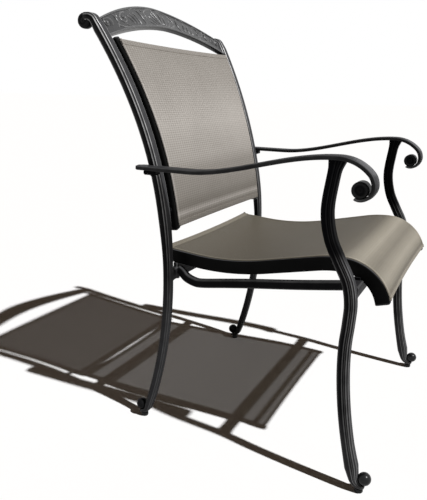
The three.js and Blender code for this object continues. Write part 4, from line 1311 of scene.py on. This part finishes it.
class PATIO_OT_posts(bpy.types.Operator):
    """Cast the rear posts with their scrolled heads, foot balls and glides"""

    bl_idname = "patio.posts"
    bl_label = "Rear Posts"

    def execute(self, context):
        # The post's ridges are worn and highlit mostly above 0.75 m, and not above 0.93 m.
        coat = coated_casting("post_coat", 0.38, 0.015, (0.5, 0.5), (0.06, 0.7),
                              foot=(0.25, 0.22, 0.42), crown=0.93)
        glossy = coated_casting("ball_coat", 0.24, 0.03, (0.03, 0.03))
        nylon = moulded_plastic("glide_plastic", 0.5)
        bm, knob, centre = post_casting()
        pair("post_casting", bm, coat, "frame", "rear_post", ridges=0.3)
        pair("post_knob", volute(knob), glossy, "frame", ridges=2)
        pair("rear_ball", foot_knob(centre), glossy, "frame", "rear_foot_ball", ridges=2)
        pair("rear_foot_glide", foot_glide(centre, -7 * MM), nylon, "plastic", "rear_glide")
        return {"FINISHED"}


class PATIO_OT_legs(bpy.types.Operator):
    """Cast the front legs with their foot balls and glides"""

    bl_idname = "patio.legs"
    bl_label = "Front Legs"

    def execute(self, context):
        # Above the change, at 0.455 to 0.485 m, the leg gets no painted light and hardly any ridge
        # highlight: a painted shadow of the arm. Its foot is made paler on every side below 0.08
        # to 0.2 m.
        coat = coated_casting("leg_coat", 0.38, 0.005, (0.5, 0), (0.22, 0.02),
                              change=(0.455, 0.485), foot=(0.2, 0.08, 0.2))
        glossy = coated_casting("front_ball_coat", 0.24, 0.2, (0.03, 0.03))
        nylon = moulded_plastic("front_glide_plastic", 0.5)
        bm, centre = leg_casting()
        pair("leg_casting", bm, coat, "frame", "front_leg", ridges=0.3)
        pair("front_ball", foot_knob(centre), glossy, "frame", "front_foot_ball", ridges=2)
        pair("front_foot_glide", foot_glide(centre, 9 * MM), nylon, "plastic", "front_glide")
        return {"FINISHED"}


class PATIO_OT_arms(bpy.types.Operator):
    """Cast the arms, the barrels in their scrolls and the lugs that carry them"""

    bl_idname = "patio.arms"
    bl_label = "Arms"

    def execute(self, context):
        # Glint paints a highlight on the scroll where it faces the lamp.
        coat = coated_casting("arm_coat", 0.4, 0.015, (0.36, 0.36), (0.2, 0.15), glint=0.9)
        dark = coated_casting("barrel_coat", 0.3, 0.02, (0.02, 0.02))
        bm, centre, radius = arm_casting()
        pair("arm_casting", bm, coat, "frame", "arm", ridges=0.5)
        pair("arm_barrel", arm_barrel(centre, radius), dark, "frame", "arm_scroll_ball", ridges=2)
        pair("arm_lug", arm_lug(), dark, "frame", "arm_rear_bracket")
        return {"FINISHED"}


class PATIO_OT_crest(bpy.types.Operator):
    """Cast the crest rail with its leaf and scroll relief"""

    bl_idname = "patio.crest"
    bl_label = "Crest Rail"

    def execute(self, context):
        # The crest's ribs are worn and highlit nearly in full, which paints their highlights.
        coat = coated_casting("crest_coat", 0.3, 0.32, (0.07, 0.07), (0.95, 0.95))
        piece("crest_casting", crest_casting(), coat, "frame", "crest_rail", ridges=1.7)
        return {"FINISHED"}


class PATIO_OT_bars(bpy.types.Operator):
    """Make the cross bars, the side bars and the seat's blocks"""

    bl_idname = "patio.bars"
    bl_label = "Cross Bars and Side Bars"

    def execute(self, context):
        coat = coated_casting("bar_coat", 0.4, 0.012, (0.2, 0.2))
        rear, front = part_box("rear_cross_bar"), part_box("front_cross_bar")
        rear_y, front_y = ((low + high).y / 2 for low, high in (rear, front))
        base, high = rear[0].z, 27 * MM
        bar = joined(cross_bar(rear_y, base, high, 14 * MM, rear[1].x),
                     *(bar_post(side, rear_y, base + high - 3 * MM) for side in (-1, 1)))
        piece("rear_bar_casting", bar, coat, "frame", "rear_cross_bar", ridges=0.6)
        bar = cross_bar(front_y, front[0].z, front[1].z - front[0].z, 20 * MM, front[1].x)
        piece("front_bar_casting", bar, coat, "frame", "front_cross_bar", ridges=0.6)

        top = (front[0].z + front[1].z) / 2
        points = through([(blend(front_y, rear_y, run), top - 56.5 * MM * drop)
                          for run, drop in SIDE_BAR_DROPS])
        spots = [spot(Vector((seat_rail_over(y).x + 5.5 * MM, y, z)))
                 for y, z in points if front_y + 9 * MM < y < rear_y - 6 * MM]
        bm = swept(soft_box(16 * MM, 19.5 * MM, 4 * MM, 5), stations(spots))
        pair("side_bar_casting", bm, coat, "frame", "side_bar", ridges=0.6)

        low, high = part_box("left_seat_block")
        at = (low + high) / 2
        line = [station(Vector((at.x, at.y, z)), UPWARD)
                for z in (low.z - 1 * MM, high.z + 1 * MM)]
        bm = swept(soft_box((high - low).x, 13 * MM, 2.5 * MM), line)
        pair("seat_pad_block", bm, coat, "frame", "seat_block")
        return {"FINISHED"}


class PATIO_OT_rails(bpy.types.Operator):
    """Draw the back rails and seat rails with their plugs, and give the splines their plastic"""

    bl_idname = "patio.rails"
    bl_label = "Rails"

    def execute(self, context):
        rail = chair().rail
        coat, plastic = coated_rail(), moulded_plastic("plug_plastic", 0.45)
        members = (("back", back_rail_line(), rail.back_deep, COVERS_FRONT, "bottom", "top"),
                   ("seat", seat_rail_line(), rail.seat_deep, COVERS_TOP, "rear", "front"))
        for name, line, deep, covered, *_ in members:
            pair(f"{name}_rail_extrusion", swept(rail_section(deep, covered), line), coat, "rail",
                 f"{name}_rail", angle=50)
        for name, line, deep, _, first, last in members:
            for end, place, outward in ((last, line[-1], 1), (first, line[0], -1)):
                pair(f"{name}_{end}_plug", rail_plug(place, outward, deep), plastic, "plastic",
                     f"{name}_rail_{end}_cap")
        for node in ("left_back_spline", "right_back_spline", "left_seat_spline",
                     "right_seat_spline"):
            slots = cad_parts[node].material_slots
            if slots:
                slots[0].material = plastic
            else:
                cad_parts[node].data.materials.append(plastic)
        return {"FINISHED"}


def screw(low, high, axis):
    """A bolt along an axis: a hexagon head with a turned-down top, on its shank."""
    at = (low + high) / 2
    at[axis] = low[axis]
    long = high[axis] - low[axis]
    profile = [(0, 0), (4.1 * MM, 0), (5 * MM, 0.8 * MM), (5 * MM, 4 * MM), (2.9 * MM, 4 * MM),
               (2.9 * MM, long), (0, long)]
    return turned(profile, sideways(at) if axis == 0 else Matrix.Translation(at), 6)


class PATIO_OT_fixings(bpy.types.Operator):
    """Turn the spreader tubes, spacers and bolts"""

    bl_idname = "patio.fixings"
    bl_label = "Fixings"

    def execute(self, context):
        steel = blackened_steel()
        coat = coated_casting("spacer_coat", 0.45, 0.02, (0.02, 0.02))
        for node in ("back_upper_spreader", "back_lower_spreader", "seat_front_spreader",
                     "seat_rear_spreader"):
            low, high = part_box(node)
            radius, half = (high.z - low.z) / 2, (high.x - low.x) / 2
            end = [(0, -half), (radius - 1 * MM, -half), (radius, 1 * MM - half)]
            tube = turned(end + other_end(end), sideways((low + high) / 2), 28)
            piece(node + "_tube", tube, steel, "hardware", node)
        for end in ("back_lower", "back_upper"):
            low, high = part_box(f"left_{end}_spacer")
            radius, half = (high.z - low.z) / 2, (high.x - low.x) / 2 + 0.6 * MM
            collar = [(0, -half), (radius, -half), (radius, -half * 0.72),
                      (radius * 0.86, -half * 0.45)]
            sleeve = turned(collar + other_end(collar), sideways((low + high) / 2))
            pair(f"{end}_sleeve", sleeve, coat, "frame", f"{end}_spacer")
            bolt = screw(*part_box(f"left_{end}_bolt"), 0)
            pair(f"{end}_screw", bolt, steel, "hardware", f"{end}_bolt", angle=25)
        for end in ("seat_front", "seat_rear"):
            bolt = screw(*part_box(f"left_{end}_bolt"), 2)
            pair(f"{end}_screw", bolt, steel, "hardware", f"{end}_bolt", angle=25)
        return {"FINISHED"}


class PATIO_OT_slings(bpy.types.Operator):
    """Weave the back sling and the seat sling, with their hems"""

    bl_idname = "patio.slings"
    bl_label = "Slings"

    def execute(self, context):
        rail, sling, finish = chair().rail, chair().sling, chair().finish
        hem, front_hem = sling.hem, sling.front_hem
        hang_sling("back", back_rail_line(), rail.back_deep, COVERS_FRONT, finish.pale_yarn,
                   BACK_WEAVE_AND_PAINTED_LIGHT, ((flat_hem(hem), hem), (flat_hem(hem), hem)))
        hang_sling("seat", seat_rail_line(), rail.seat_deep, COVERS_TOP, finish.seat_painted_yarn,
                   SEAT_WEAVE_AND_PAINTED_LIGHT, ((rolled_hem(hem, sling.roll), hem),
                                (flat_hem(front_hem), front_hem)))
        return {"FINISHED"}


class PATIO_PT_sidebar(bpy.types.Panel):
    """The chair's pieces, in the order in which they are made"""

    bl_label = "Patio Chair"
    bl_space_type = "VIEW_3D"
    bl_region_type = "UI"
    bl_category = "Patio Chair"

    def draw(self, context):
        for tool in TOOLS:
            self.layout.operator(tool.bl_idname)


TOOLS = (
    PATIO_OT_stage, PATIO_OT_posts, PATIO_OT_legs, PATIO_OT_arms, PATIO_OT_crest, PATIO_OT_bars,
    PATIO_OT_rails, PATIO_OT_fixings, PATIO_OT_slings,
)
CLASSES = (
    PostSizes, LegSizes, FootSizes, ArmSizes, CrestSizes, RailSizes, SlingSizes, Finishes,
    StageSettings, ChairSettings, *TOOLS, PATIO_PT_sidebar,
)


def register():
    for made in CLASSES:
        bpy.utils.register_class(made)
    bpy.types.Scene.patio_chair = PointerProperty(type=ChairSettings)


def unregister():
    del bpy.types.Scene.patio_chair
    for made in reversed(CLASSES):
        bpy.utils.unregister_class(made)


def main():
    register()
    bpy.ops.patio.stage()
    bpy.ops.patio.posts()
    bpy.ops.patio.legs()
    bpy.ops.patio.arms()
    bpy.ops.patio.crest()
    bpy.ops.patio.bars()
    bpy.ops.patio.rails()
    bpy.ops.patio.fixings()
    bpy.ops.patio.slings()


if __name__ == "__main__":
    main()
